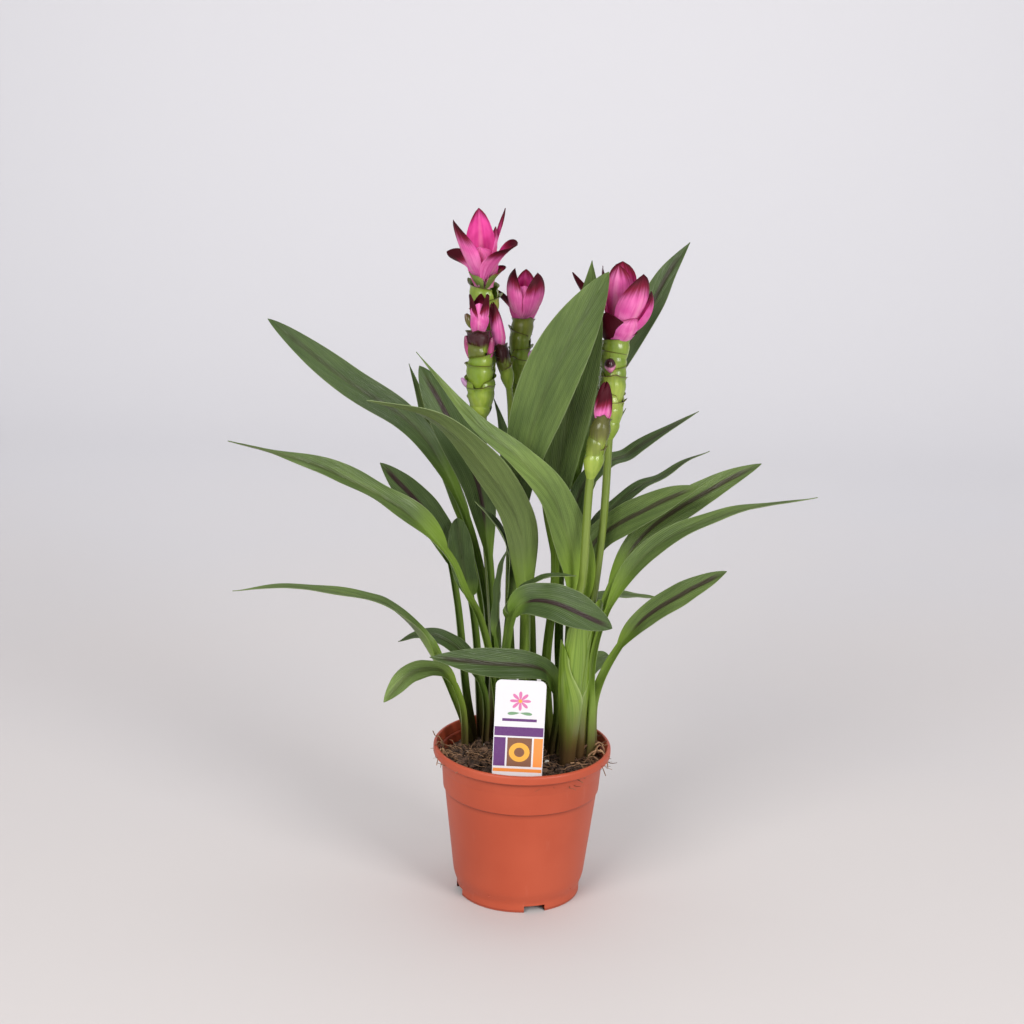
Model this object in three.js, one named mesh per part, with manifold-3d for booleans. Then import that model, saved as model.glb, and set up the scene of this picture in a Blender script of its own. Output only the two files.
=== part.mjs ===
// A siam tulip, a Curcuma, in flower in its plastic nursery pot, with a stick-in label.
// Millimetres, +Z up. The origin is the middle of the pot's underside. The label stands
// at the front, which is -Y, and +X is to the right of it.

import * as THREE from "three";
import { mergeVertices } from "three/addons/utils/BufferGeometryUtils.js";
import Module from "manifold-3d";

const wasm = await Module();
wasm.setup();

// Driving dimensions

const clearance = 0.3;

const pot = {
  rimRadius: 75,
  rimInside: 72,
  height: 132.2,
  lipBottom: 124.4,
  collarTopRadius: 68.2,
  collarBottomRadius: 66,
  collarBottom: 94.4,
  wallTopRadius: 64.7,
  wallFootRadius: 55.6,
  wallFoot: 17,
  footRadius: 52.4,
  footHeight: 8,
  wall: 1.9,
  padRadius: 27,
  channelInside: 30,
  channelOutside: 44,
  channelHeight: 5,
  segments: 28,
};
const notch = { count: 4, width: 18, height: 6, turn: -73.5 };
const drain = { count: 8, radius: 4, ring: 37, sides: 8 };

const soil = { level: 119, bottom: 7.4, rings: 6, segments: 28, mound: 7, lumps: 2.2 };
const stemFoot = 106;
const footHeight = 16;
const hole = { top: 140, sides: 6, ease: 1.4 };

const label = {
  width: 41,
  top: 212,
  shoulder: 127,
  tip: 84,
  thickness: 0.8,
  corner: 5,
  x: -4.2,
  y: -58.5,
  lean: 2.5,
  roll: 0.9,
};

const blade = { edge: 0.85, rib: 1.7, tipWidth: 1.3 };
const stalk = { edge: 1.7, rib: 3.4, fold: 50 };

const spikeSides = 8;
const sheathRows = 2;
const bract = {
  thickness: 0.95,
  rowLength: 18,
  mostRows: 3,
  columns: 2,
  tipWidth: 1.2,
  waist: 0.5,
  point: 1.8,
  taperPower: 0.75,
  cup: 11,
  rootRadius: 2,
  leanPower: 1.4,
};

// Materials

const paint = {
  terracotta: { color: 0xb8583e, roughness: 0.55 },
  peat: { color: 0x3a2a20, roughness: 1 },
  card: { color: 0xf2f1f4, roughness: 0.35 },
  root: { color: 0xb79a6a, roughness: 0.8 },
  leafDeep: { color: 0x46613a, roughness: 0.5 },
  leafMid: { color: 0x56783e, roughness: 0.5 },
  leafLight: { color: 0x6f9048, roughness: 0.5 },
  spikeGreen: { color: 0x8aa842, roughness: 0.5 },
  bractPink: { color: 0xdb4f9c, roughness: 0.6 },
  bractMaroon: { color: 0x5e1a30, roughness: 0.6 },
};

function material(name) {
  const { color, roughness } = paint[name];
  return new THREE.MeshStandardMaterial({ color, roughness, metalness: 0 });
}

// Solids from grids of points

function smooth(value) {
  const k = Math.min(1, Math.max(0, value));
  return k * k * (3 - 2 * k);
}

function mix(from, to, k) {
  return from + (to - from) * k;
}

function radians(degrees) {
  return (degrees * Math.PI) / 180;
}

function geometryFrom(points, triangles) {
  const geometry = new THREE.BufferGeometry();
  const flat = points.flatMap((point) => [point.x, point.y, point.z]);
  geometry.setAttribute("position", new THREE.Float32BufferAttribute(flat, 3));
  const ordered = signedVolume(points, triangles) < 0 ? triangles.map(([a, b, c]) => [a, c, b]) : triangles;
  geometry.setIndex(ordered.flat());
  return geometry;
}

function signedVolume(points, triangles) {
  const cross = new THREE.Vector3();
  let sum = 0;
  for (const [a, b, c] of triangles) {
    sum += points[a].dot(cross.crossVectors(points[b], points[c]));
  }
  return sum;
}

// Closes a thin sheet: each row holds its upper points and then, under them, its lower
// points. Both faces are split along the same diagonals, so that a waved sheet never
// crosses itself.
function sheetSolid(rows) {
  const columns = rows[0].upper.length;
  const points = rows.flatMap((row) => [...row.upper, ...row.lower]);
  const upper = (row, column) => row * 2 * columns + column;
  const lower = (row, column) => upper(row, column) + columns;
  const triangles = [];
  for (let row = 0; row < rows.length - 1; row += 1) {
    for (let column = 0; column < columns - 1; column += 1) {
      const corners = [
        [row, column],
        [row, column + 1],
        [row + 1, column + 1],
        [row + 1, column],
      ];
      const [a, b, c, d] = corners.map(([r, k]) => upper(r, k));
      triangles.push([a, b, c], [a, c, d]);
      const [e, f, g, h] = corners.map(([r, k]) => lower(r, k));
      triangles.push([e, g, f], [e, h, g]);
    }
    const last = columns - 1;
    triangles.push([upper(row, 0), upper(row + 1, 0), lower(row + 1, 0)]);
    triangles.push([upper(row, 0), lower(row + 1, 0), lower(row, 0)]);
    triangles.push([upper(row, last), lower(row + 1, last), upper(row + 1, last)]);
    triangles.push([upper(row, last), lower(row, last), lower(row + 1, last)]);
  }
  const end = rows.length - 1;
  for (let column = 0; column < columns - 1; column += 1) {
    triangles.push([upper(0, column), lower(0, column), lower(0, column + 1)]);
    triangles.push([upper(0, column), lower(0, column + 1), upper(0, column + 1)]);
    triangles.push([upper(end, column), lower(end, column + 1), lower(end, column)]);
    triangles.push([upper(end, column), upper(end, column + 1), lower(end, column + 1)]);
  }
  return geometryFrom(points, triangles);
}

// Closes a stack of rings, each with the same number of points, with a point at each end.
function ringSolid(rings, foot, head) {
  const sides = rings[0].length;
  const points = [...rings.flat(), foot, head];
  const triangles = [];
  for (let ring = 0; ring < rings.length - 1; ring += 1) {
    for (let side = 0; side < sides; side += 1) {
      const next = (side + 1) % sides;
      const a = ring * sides + side;
      const b = ring * sides + next;
      triangles.push([a, b, b + sides], [a, b + sides, a + sides]);
    }
  }
  const footIndex = points.length - 2;
  const headIndex = points.length - 1;
  const lastRing = (rings.length - 1) * sides;
  for (let side = 0; side < sides; side += 1) {
    const next = (side + 1) % sides;
    triangles.push([footIndex, next, side]);
    triangles.push([headIndex, lastRing + side, lastRing + next]);
  }
  return geometryFrom(points, triangles);
}

function toSolid(geometry) {
  const bare = geometry.index ? geometry.clone() : geometry;
  bare.deleteAttribute("normal");
  bare.deleteAttribute("uv");
  const merged = mergeVertices(bare, 1e-4);
  return new wasm.Manifold(
    new wasm.Mesh({
      numProp: 3,
      vertProperties: new Float32Array(merged.attributes.position.array),
      triVerts: new Uint32Array(merged.index.array),
    }),
  );
}

function toGeometry(solid) {
  const mesh = solid.getMesh();
  const geometry = new THREE.BufferGeometry();
  geometry.setAttribute("position", new THREE.Float32BufferAttribute(mesh.vertProperties, 3));
  geometry.setIndex([...mesh.triVerts]);
  return geometry;
}

function joined(solids) {
  return solids.reduce((whole, piece) => whole.add(piece));
}

// Keeps the one main body: a sealed hollow is filled and a loose scrap is dropped.
function mainBody(solid) {
  return solid.decompose().reduce((best, piece) => (piece.volume() > best.volume() ? piece : best));
}

function cut(solid, tools) {
  return tools.reduce((rest, tool) => rest.subtract(tool), solid);
}

// The pot

function wallRadius(z) {
  if (z >= pot.collarBottom) {
    const up = (z - pot.collarBottom) / (pot.lipBottom - pot.collarBottom);
    return mix(pot.collarBottomRadius, pot.collarTopRadius, Math.min(1, up));
  }
  if (z >= pot.wallFoot) {
    const up = (z - pot.wallFoot) / (pot.collarBottom - pot.wallFoot);
    return mix(pot.wallFootRadius, pot.wallTopRadius, up);
  }
  const up = (z - pot.footHeight) / (pot.wallFoot - pot.footHeight);
  return mix(pot.footRadius, pot.wallFootRadius, Math.max(0, up));
}

function potSolid() {
  const inside = (z) => [wallRadius(z) - pot.wall, z];
  const floor = pot.wall;
  const profile = [
    [0, 0],
    [pot.padRadius, 0],
    [pot.channelInside, pot.channelHeight],
    [pot.channelOutside, pot.channelHeight],
    [pot.channelOutside + 2, 0],
    [pot.footRadius - 0.6, 0],
    [pot.footRadius, 0.8],
    [pot.footRadius, pot.footHeight],
    [pot.wallFootRadius, pot.wallFoot],
    [pot.wallTopRadius, pot.collarBottom - 0.6],
    [pot.collarBottomRadius, pot.collarBottom],
    [pot.collarTopRadius, pot.lipBottom - 1],
    [pot.collarTopRadius + 1, pot.lipBottom],
    [pot.rimRadius - 0.9, pot.lipBottom],
    [pot.rimRadius, pot.lipBottom + 1],
    [pot.rimRadius, pot.height - 1.2],
    [pot.rimRadius - 1.2, pot.height],
    [pot.rimInside, pot.height],
    [pot.rimInside - 2, pot.lipBottom + 1.5],
    inside(pot.collarBottom + 1.6),
    inside(pot.collarBottom - 1.6),
    inside(pot.wallFoot),
    inside(pot.footHeight + 1),
    [pot.footRadius - pot.wall, floor],
    [pot.channelOutside + 1.2, floor],
    [pot.channelOutside - 0.8, pot.channelHeight + floor],
    [pot.channelInside - 1, pot.channelHeight + floor],
    [pot.padRadius - 1, floor],
    [0, floor],
  ];
  const outline = profile.map(([r, z]) => new THREE.Vector2(r, z));
  const shell = new THREE.LatheGeometry(outline, pot.segments);
  shell.rotateX(Math.PI / 2);
  const body = toSolid(geometryFromLathe(shell));
  const notches = Array.from({ length: notch.count }, (unused, index) => {
    const box = new THREE.BoxGeometry(14, notch.width, notch.height * 2);
    box.translate(pot.footRadius - 2, 0, 0);
    box.rotateZ(radians(notch.turn + (index * 360) / notch.count));
    return toSolid(box);
  });
  const drains = Array.from({ length: drain.count }, (unused, index) => {
    const hole = new THREE.CylinderGeometry(drain.radius, drain.radius, 24, drain.sides);
    hole.rotateX(Math.PI / 2);
    hole.translate(drain.ring, 0, 0);
    hole.rotateZ(((index + 0.5) * 2 * Math.PI) / drain.count);
    return toSolid(hole);
  });
  return cut(body, [...notches, ...drains]);
}

// Merges the seam of a turned shape and turns its faces outward.
function geometryFromLathe(shell) {
  const bare = shell.clone();
  bare.deleteAttribute("normal");
  bare.deleteAttribute("uv");
  const merged = mergeVertices(bare, 1e-4);
  const place = merged.attributes.position;
  const points = Array.from({ length: place.count }, (unused, index) =>
    new THREE.Vector3().fromBufferAttribute(place, index),
  );
  const triangles = [];
  for (let index = 0; index < merged.index.count; index += 3) {
    const corners = [0, 1, 2].map((step) => merged.index.getX(index + step));
    if (new Set(corners).size === 3) {
      triangles.push(corners);
    }
  }
  return geometryFrom(points, triangles);
}

// The potting soil, crumbly on top, heaped against the rim at the left front

function soilHeight(x, y) {
  const radius = Math.hypot(x, y);
  const heap = Math.exp(-((x + 50) ** 2 + (y + 22) ** 2) / 700);
  const rightHeap = Math.exp(-((x - 56) ** 2 + (y + 26) ** 2) / 300);
  const crumbs = Math.sin(x * 0.31 + 1.3) * Math.sin(y * 0.27 - 0.4) + 0.6 * Math.sin(x * 0.71 - y * 0.63);
  const settle = 2.5 * smooth((radius - 45) / 20) * (1 - heap);
  return soil.level + soil.mound * heap + 4 * rightHeap + 0.6 * soil.lumps * crumbs - settle;
}

function soilSolid(holes) {
  const fit = (z) => wallRadius(z) - pot.wall - 0.4;
  const topRadius = fit(soil.level) - 0.8;
  const ringAt = (radius, height) =>
    Array.from({ length: soil.segments }, (unused, index) => {
      const turn = (index * 2 * Math.PI) / soil.segments;
      const x = radius * Math.cos(turn);
      const y = radius * Math.sin(turn);
      return new THREE.Vector3(x, y, height ?? soilHeight(x, y));
    });
  const sides = [soil.bottom, pot.wallFoot, pot.collarBottom - 2, pot.collarBottom + 4];
  const rings = sides.map((z) => ringAt(fit(Math.min(z, pot.collarBottom - 2)), z));
  for (let ring = 0; ring < soil.rings; ring += 1) {
    rings.push(ringAt(topRadius * (1 - ring / soil.rings)));
  }
  const foot = new THREE.Vector3(0, 0, soil.bottom);
  const head = new THREE.Vector3(0, 0, soilHeight(0, 0));
  return mainBody(cut(toSolid(ringSolid(rings, foot, head)), holes));
}

// Rhizomes: a few swollen lumps grown together, under each group of stems

const rhizomes = [
  { name: "rhizome_left", lumps: [[-40, 32, 13], [-25, 42, 12]] },
  { name: "rhizome_middle", lumps: [[-9, 7, 12], [6, 15, 12]] },
  { name: "rhizome_right", lumps: [[33, 2, 11], [43, 12, 13]] },
];
const rhizome = { top: stemFoot - clearance, flatness: 0.8, trimmed: 3 };

function rhizomeSolid(lumps, grow) {
  const balls = lumps.map(([x, y, size]) => {
    const ball = new THREE.IcosahedronGeometry(size + grow, 1);
    ball.scale(1, 1, rhizome.flatness);
    ball.translate(x, y, rhizome.top + rhizome.trimmed - size * rhizome.flatness);
    return toSolid(geometryFromLathe(ball));
  });
  const slab = new THREE.BoxGeometry(200, 200, 40);
  slab.translate(0, 0, rhizome.top + grow + 20);
  return cut(joined(balls), [toSolid(slab)]);
}

// The label: a plain card tag with round corners and a pointed foot

function labelSolid(grow) {
  const half = label.width / 2 + grow;
  const top = label.top + grow;
  const shape = new THREE.Shape();
  shape.moveTo(0, label.tip - grow);
  shape.lineTo(half * 0.45, label.tip + 12);
  shape.lineTo(half * 0.62, label.shoulder - 8);
  shape.lineTo(half, label.shoulder);
  shape.lineTo(half, top - label.corner);
  shape.absarc(half - label.corner, top - label.corner, label.corner, 0, Math.PI / 2);
  shape.absarc(label.corner - half, top - label.corner, label.corner, Math.PI / 2, Math.PI);
  shape.lineTo(-half, label.shoulder);
  shape.lineTo(-half * 0.62, label.shoulder - 8);
  shape.lineTo(-half * 0.45, label.tip + 12);
  const depth = label.thickness + 2 * grow;
  const card = new THREE.ExtrudeGeometry(shape, { depth, bevelEnabled: false, curveSegments: 3 });
  card.translate(0, -label.tip, -depth / 2);
  card.rotateX(Math.PI / 2 + radians(label.lean));
  card.rotateY(radians(label.roll));
  card.translate(label.x, label.y, label.tip);
  return toSolid(card);
}

// The middle line of a leaf or stem: upright where it stands in the soil, and then from
// one point of its route to the next. It measures its own length into even steps.
function routeCurve({ foot: [x, y], route }) {
  const points = [[x, y, stemFoot], [x, y, stemFoot + footHeight], ...route];
  return new THREE.CatmullRomCurve3(points.map((point) => new THREE.Vector3(...point)));
}

// A leaf: a channelled stalk that widens into a folded, pointed and often waved blade.
// The route is the middle rib, from the foot in the soil to the tip. The look vectors
// say which way the upper side turns: of the stalk, of the blade and of the tip.

function bladeWidth(v, leaf) {
  const peak = leaf.rise / (leaf.rise + leaf.fall);
  const swell = (v / peak) ** leaf.rise * ((1 - v) / (1 - peak)) ** leaf.fall;
  return mix(leaf.stem, 0, smooth(v / 0.4)) + leaf.width * swell;
}

function leafLook(t, leaf) {
  const look = new THREE.Vector3(...leaf.looks[0]).normalize();
  const begin = leaf.bladeFrom * 0.55;
  const turn = smooth((t - begin) / (leaf.bladeFrom + 0.14 - begin));
  look.lerp(new THREE.Vector3(...leaf.looks[1]).normalize(), turn);
  const tip = new THREE.Vector3(...(leaf.looks[2] ?? leaf.looks[1])).normalize();
  return look.lerp(tip, smooth((t - leaf.bladeFrom) / (1 - leaf.bladeFrom)));
}

function leafRow(curve, t, leaf) {
  const v = Math.max(0, (t - leaf.bladeFrom) / (1 - leaf.bladeFrom));
  const open = smooth(v / 0.35);
  const centre = curve.getPointAt(t);
  const along = curve.getTangentAt(t);
  const look = leafLook(t, leaf);
  const normal = look.addScaledVector(along, -look.dot(along)).normalize();
  const side = new THREE.Vector3().crossVectors(along, normal);
  const width = Math.max(blade.tipWidth, v > 0 ? bladeWidth(v, leaf) : leaf.stem);
  const fold = radians(mix(stalk.fold, leaf.fold, open));
  const columns = leaf.columns;
  const upper = [];
  const lower = [];
  for (let column = 0; column <= columns; column += 1) {
    const u = (2 * column) / columns - 1;
    const reach = Math.abs(u) * (width / 2);
    const ripple = Math.sin(2 * Math.PI * leaf.waves * v + (u > 0 ? 0 : 1.9)) * leaf.wave;
    const lift = reach * Math.sin(fold) + ripple * u * u * Math.sin(Math.PI * v) ** 0.6;
    const edge = mix(stalk.edge, blade.edge, open);
    const rib = mix(stalk.rib, blade.rib, open) * mix(1, 0.55, smooth((v - 0.7) / 0.3));
    const thick = mix(Math.max(rib, edge), edge, Math.abs(u) ** 0.7);
    const point = centre.clone();
    point.addScaledVector(side, Math.sign(u) * reach * Math.cos(fold));
    point.addScaledVector(normal, lift);
    upper.push(point);
    lower.push(point.clone().addScaledVector(normal, -thick));
  }
  return { upper, lower };
}

function leafSolid(leaf) {
  const curve = routeCurve(leaf);
  const stations = [];
  for (let row = 0; row < leaf.stalkRows; row += 1) {
    stations.push((leaf.bladeFrom * row) / leaf.stalkRows);
  }
  for (let row = 0; row <= leaf.bladeRows; row += 1) {
    stations.push(mix(leaf.bladeFrom, 1, row / leaf.bladeRows));
  }
  return sheetSolid(stations.map((t) => leafRow(curve, t, leaf)));
}

const leafDefaults = {
  fold: 16,
  wave: 0,
  waves: 1.5,
  stem: 9,
  rise: 0.9,
  fall: 1.1,
  columns: 4,
  stalkRows: 4,
  bladeRows: 8,
};

const leftLook = [0.5, -0.85, 0];
const rightLook = [-0.5, -0.85, 0];
const frontLook = [0, -1, 0];

const leaves = [
  {
    name: "leaf_left_high",
    tone: "leafDeep",
    width: 27,
    bladeFrom: 0.49,
    fold: 12,
    rise: 1.1,
    fall: 0.8,
    stem: 10,
    looks: [leftLook, [-0.1, -0.85, 0.5], [0, -0.8, 0.6]],
    foot: [-33, 53],
    route: [[-33, 55, 190], [-36, 52, 241], [-56, 51, 320], [-85, 62, 372], [-108, 70, 394],
      [-158, 86, 421], [-228, 104, 469]],
  },
  {
    name: "leaf_left_waved",
    tone: "leafMid",
    width: 23,
    bladeFrom: 0.5,
    fold: 20,
    wave: 2.4,
    waves: 2.2,
    rise: 0.8,
    fall: 1.5,
    looks: [leftLook, [0, -0.6, 0.8]],
    foot: [-22, 22],
    route: [[-25, 22, 170], [-40, 16, 237], [-52, 8, 263], [-64, 0, 292], [-101, -18, 337],
      [-153, -34, 370], [-174, -42, 381], [-238, -60, 402]],
  },
  {
    name: "leaf_left_ribbed",
    tone: "leafDeep",
    width: 26,
    bladeFrom: 0.61,
    fold: 12,
    rise: 0.8,
    fall: 0.8,
    looks: [leftLook, [0, -0.8, 0.6]],
    foot: [-44, 36],
    route: [[-51, 38, 163], [-60, 36, 245], [-69, 28, 295], [-79, 22, 317], [-123, 2, 372]],
  },
  {
    name: "leaf_left_low",
    tone: "leafMid",
    width: 16,
    bladeFrom: 0.3,
    fold: 14,
    rise: 0.8,
    fall: 1.2,
    columns: 2,
    looks: [leftLook, [0, -0.2, 1]],
    foot: [-47, 26],
    route: [[-57, 24, 155], [-88, 10, 222], [-114, -2, 251], [-130, -6, 258], [-197, -28, 273],
      [-238, -42, 273]],
  },
  {
    name: "leaf_left_short",
    tone: "leafLight",
    width: 18,
    bladeFrom: 0.48,
    stem: 7,
    fold: 12,
    rise: 1.1,
    fall: 0.8,
    columns: 2,
    looks: [leftLook, [0, -0.7, 0.7]],
    foot: [-50, 15],
    route: [[-54, 14, 163], [-69, 6, 192], [-94, -8, 194], [-116, -24, 174]],
  },
  {
    name: "leaf_left_dark",
    tone: "leafDeep",
    width: 18,
    bladeFrom: 0.42,
    stem: 7,
    fold: 10,
    columns: 2,
    looks: [leftLook, [0, -0.45, 0.9]],
    foot: [-33, 26],
    route: [[-35, 24, 169], [-57, 23, 207], [-85, 30, 216], [-109, 38, 206]],
  },
  {
    name: "leaf_left_round",
    tone: "leafDeep",
    width: 22,
    bladeFrom: 0.68,
    rise: 0.6,
    fall: 0.5,
    looks: [leftLook, [0, -0.65, 0.75]],
    foot: [-38, 45],
    route: [[-41, 40, 180], [-44, 33, 220], [-48, 28, 250], [-54, 22, 277], [-57, 20, 298],
      [-60, 20, 322]],
  },
  {
    name: "leaf_high_sliver",
    tone: "leafMid",
    width: 15,
    bladeFrom: 0.55,
    stem: 12,
    columns: 2,
    looks: [leftLook, [0.5, -0.8, 0.3]],
    foot: [-24, 55],
    route: [[-36, 71, 212], [-50, 83, 271], [-64, 90, 318], [-72, 97, 338], [-82, 100, 360],
      [-107, 104, 434]],
  },
  {
    name: "leaf_high_ribbed",
    tone: "leafDeep",
    width: 35,
    bladeFrom: 0.5,
    rise: 1.2,
    fall: 0.75,
    looks: [leftLook, [0.1, -0.95, 0.3]],
    foot: [-21, 32],
    route: [[-27, 32, 198], [-34, 26, 293], [-45, 14, 359], [-65, 8, 403], [-93, 10, 452]],
  },
  {
    name: "leaf_front_arching",
    tone: "leafMid",
    width: 32,
    bladeFrom: 0.36,
    stem: 13,
    fold: 10,
    rise: 0.9,
    fall: 0.8,
    looks: [[-0.2, 0.95, 0], [-0.1, 0.85, 0.5], [0, 0.35, 0.95]],
    foot: [2, 2],
    route: [[-2, -8, 279], [-10, -22, 336], [-46, -52, 397], [-77, -64, 426], [-128, -80, 443]],
  },
  {
    name: "leaf_front_light",
    tone: "leafLight",
    width: 31,
    bladeFrom: 0.37,
    stem: 11,
    fold: 12,
    rise: 0.42,
    fall: 1.3,
    looks: [frontLook, [0.1, -0.75, 0.65]],
    foot: [34, -2],
    route: [[42, -4, 271], [35, -8, 306], [17, -26, 358], [-11, -38, 391], [-43, -45, 418],
      [-92, -52, 476]],
  },
  {
    name: "leaf_front_level",
    tone: "leafDeep",
    width: 27,
    bladeFrom: 0.36,
    stem: 7,
    fold: 10,
    rise: 1.1,
    fall: 1.0,
    looks: [frontLook, [0, -0.75, 0.65]],
    foot: [24, 4],
    route: [[28, 0, 158], [26, -6, 183], [20, -14, 199], [9, -24, 209], [-32, -40, 217],
      [-77, -52, 225]],
  },
  {
    name: "leaf_front_folded",
    tone: "leafDeep",
    width: 33,
    bladeFrom: 0.62,
    stem: 11,
    fold: 10,
    rise: 0.8,
    fall: 0.75,
    looks: [[0.4, -0.9, 0], [0, -0.75, 0.65]],
    foot: [-14, -4],
    route: [[-18, -12, 209], [-14, -22, 245], [-7, -30, 262], [4, -38, 271], [22, -48, 273],
      [49, -60, 266], [69, -65, 259]],
  },
  {
    name: "leaf_inner_crescent",
    tone: "leafDeep",
    width: 13,
    bladeFrom: 0.6,
    stem: 7,
    columns: 2,
    fold: 8,
    looks: [frontLook, [0, -0.2, 1]],
    foot: [-8, 6],
    route: [[-12, -3, 216], [-10, -17, 269], [17, -30, 290], [39, -38, 294]],
  },
  {
    name: "leaf_inner_thin",
    tone: "leafDeep",
    width: 14,
    bladeFrom: 0.6,
    stem: 7,
    columns: 2,
    looks: [frontLook, [0.3, -0.4, 0.9]],
    foot: [-12, 26],
    route: [[-17, 22, 202], [-15, 2, 297], [-24, -6, 321], [-44, -22, 349]],
  },
  {
    name: "leaf_inner_dark",
    tone: "leafDeep",
    width: 15,
    bladeFrom: 0.6,
    stem: 7,
    columns: 2,
    looks: [frontLook, [-0.9, -0.4, 0.2]],
    foot: [-19, 12],
    route: [[-22, 10, 211], [-24, 8, 238], [-22, 10, 284], [-18, 14, 299]],
  },
  {
    name: "leaf_centre_great",
    tone: "leafMid",
    width: 47,
    bladeFrom: 0.45,
    stem: 10,
    fold: 14,
    rise: 1.2,
    fall: 0.8,
    bladeRows: 10,
    looks: [frontLook, [-0.3, -0.95, 0.15]],
    foot: [9, 20],
    route: [[6, 20, 204], [3, 16, 254], [-4, 10, 299], [-8, -4, 367], [12, -12, 445], [56, -12, 537]],
  },
  {
    name: "leaf_centre_second",
    tone: "leafMid",
    width: 38,
    bladeFrom: 0.43,
    stem: 11,
    rise: 1.2,
    fall: 1.0,
    looks: [frontLook, [-0.1, -0.95, 0.2]],
    foot: [24, 18],
    route: [[18, 22, 194], [23, 22, 270], [21, 18, 349], [42, 7, 499], [43, 4, 543]],
  },
  {
    name: "leaf_centre_short",
    tone: "leafDeep",
    width: 14,
    bladeFrom: 0.66,
    stem: 7,
    columns: 2,
    looks: [frontLook, [0.6, -0.7, 0.2]],
    foot: [-5, 38],
    route: [[-12, 38, 210], [-24, 32, 391], [-32, 32, 422]],
  },
  {
    name: "leaf_right_high",
    tone: "leafDeep",
    width: 26,
    bladeFrom: 0.54,
    fold: 12,
    rise: 1.5,
    fall: 1,
    looks: [rightLook, [-0.5, -0.85, 0.1]],
    foot: [30, 31],
    route: [[30, 36, 203], [31, 50, 288], [58, 74, 421], [100, 94, 500], [110, 98, 520],
      [127, 102, 546]],
  },
  {
    name: "leaf_right_sliver",
    tone: "leafMid",
    width: 11,
    bladeFrom: 0.7,
    stem: 6,
    columns: 2,
    looks: [rightLook, [-0.6, -0.7, 0.3]],
    foot: [35, 43],
    route: [[38, 48, 209], [43, 57, 304], [63, 69, 379], [78, 74, 408]],
  },
  {
    name: "leaf_right_dark",
    tone: "leafDeep",
    width: 17,
    bladeFrom: 0.48,
    fold: 8,
    stem: 8,
    columns: 2,
    looks: [rightLook, [0, -0.45, 0.9]],
    foot: [37, 17],
    route: [[38, 24, 208], [38, 40, 328], [47, 46, 351], [66, 53, 367], [79, 57, 371], [91, 61, 379],
      [140, 77, 407]],
  },
  {
    name: "leaf_right_thin",
    tone: "leafDeep",
    width: 13,
    bladeFrom: 0.54,
    stem: 7,
    columns: 2,
    fold: 8,
    looks: [rightLook, [0, -0.6, 0.8], [0, -0.1, 1]],
    foot: [50, 25],
    route: [[51, 34, 205], [51, 42, 283], [57, 46, 312], [68, 48, 326], [93, 58, 345], [109, 64, 351],
      [130, 71, 364], [151, 76, 373]],
  },
  {
    name: "leaf_right_waved",
    tone: "leafMid",
    width: 27,
    bladeFrom: 0.5,
    fold: 10,
    rise: 1.0,
    fall: 0.8,
    looks: [rightLook, [0.1, -0.75, 0.65]],
    foot: [43, 7],
    route: [[48, 18, 255], [52, 23, 298], [62, 22, 312], [114, 2, 350], [137, -6, 363]],
  },
  {
    name: "leaf_right_ribbed",
    tone: "leafMid",
    width: 24,
    bladeFrom: 0.5,
    fold: 12,
    wave: 1.8,
    rise: 0.9,
    fall: 0.8,
    looks: [rightLook, [0.1, -0.75, 0.65]],
    foot: [51, 16],
    route: [[67, 20, 257], [95, 26, 310], [152, 22, 355], [189, 17, 378]],
  },
  {
    name: "leaf_right_long",
    tone: "leafMid",
    width: 20,
    bladeFrom: 0.42,
    stem: 7,
    fold: 12,
    rise: 1.1,
    fall: 1.6,
    looks: [rightLook, [0, -0.7, 0.7], [0, -0.15, 1]],
    foot: [55, -7],
    route: [[62, -10, 238], [95, -20, 307], [154, -38, 348], [226, -60, 372]],
  },
  {
    name: "leaf_right_low",
    tone: "leafMid",
    width: 21,
    bladeFrom: 0.51,
    stem: 8,
    fold: 12,
    rise: 0.9,
    fall: 0.8,
    looks: [rightLook, [0, -0.75, 0.65]],
    foot: [57, 6],
    route: [[57, 4, 167], [79, -3, 222], [98, -10, 250], [128, -21, 276], [161, -30, 299]],
  },
  {
    name: "leaf_back_level",
    tone: "leafMid",
    width: 14,
    bladeFrom: 0.5,
    stem: 7,
    columns: 2,
    fold: 8,
    looks: [rightLook, [0, -0.25, 1]],
    foot: [50, 33],
    route: [[56, 46, 192], [58, 62, 239], [68, 72, 242], [118, 106, 231]],
  },
  {
    name: "leaf_back_short",
    tone: "leafMid",
    width: 18,
    bladeFrom: 0.5,
    stem: 7,
    columns: 2,
    fall: 0.5,
    looks: [rightLook, [0, -0.6, 0.8]],
    foot: [42, 42],
    route: [[55, 58, 178], [65, 70, 184], [74, 84, 183]],
  },
].map((leaf) => ({ ...leafDefaults, ...leaf }));

// A flower stem: a round stalk that ends in a spike of stacked green cups. The route ends
// at the top of the spike, and cupRadii gives the cups' size from the lowest up. Where a
// sheath of old leaf bases wraps the foot, the lowest rows of the stalk are thicker.

function stemRing(centre, along, radii) {
  const across = new THREE.Vector3(1, 0, 0).addScaledVector(along, -along.x).normalize();
  const back = new THREE.Vector3().crossVectors(along, across);
  return radii.map((radius, side) => {
    const turn = (side * 2 * Math.PI) / radii.length;
    return centre
      .clone()
      .addScaledVector(across, radius * Math.cos(turn))
      .addScaledVector(back, radius * Math.sin(turn));
  });
}

function footRadius(flower) {
  return flower.sheathRadius ?? flower.stalkRadius;
}

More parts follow.
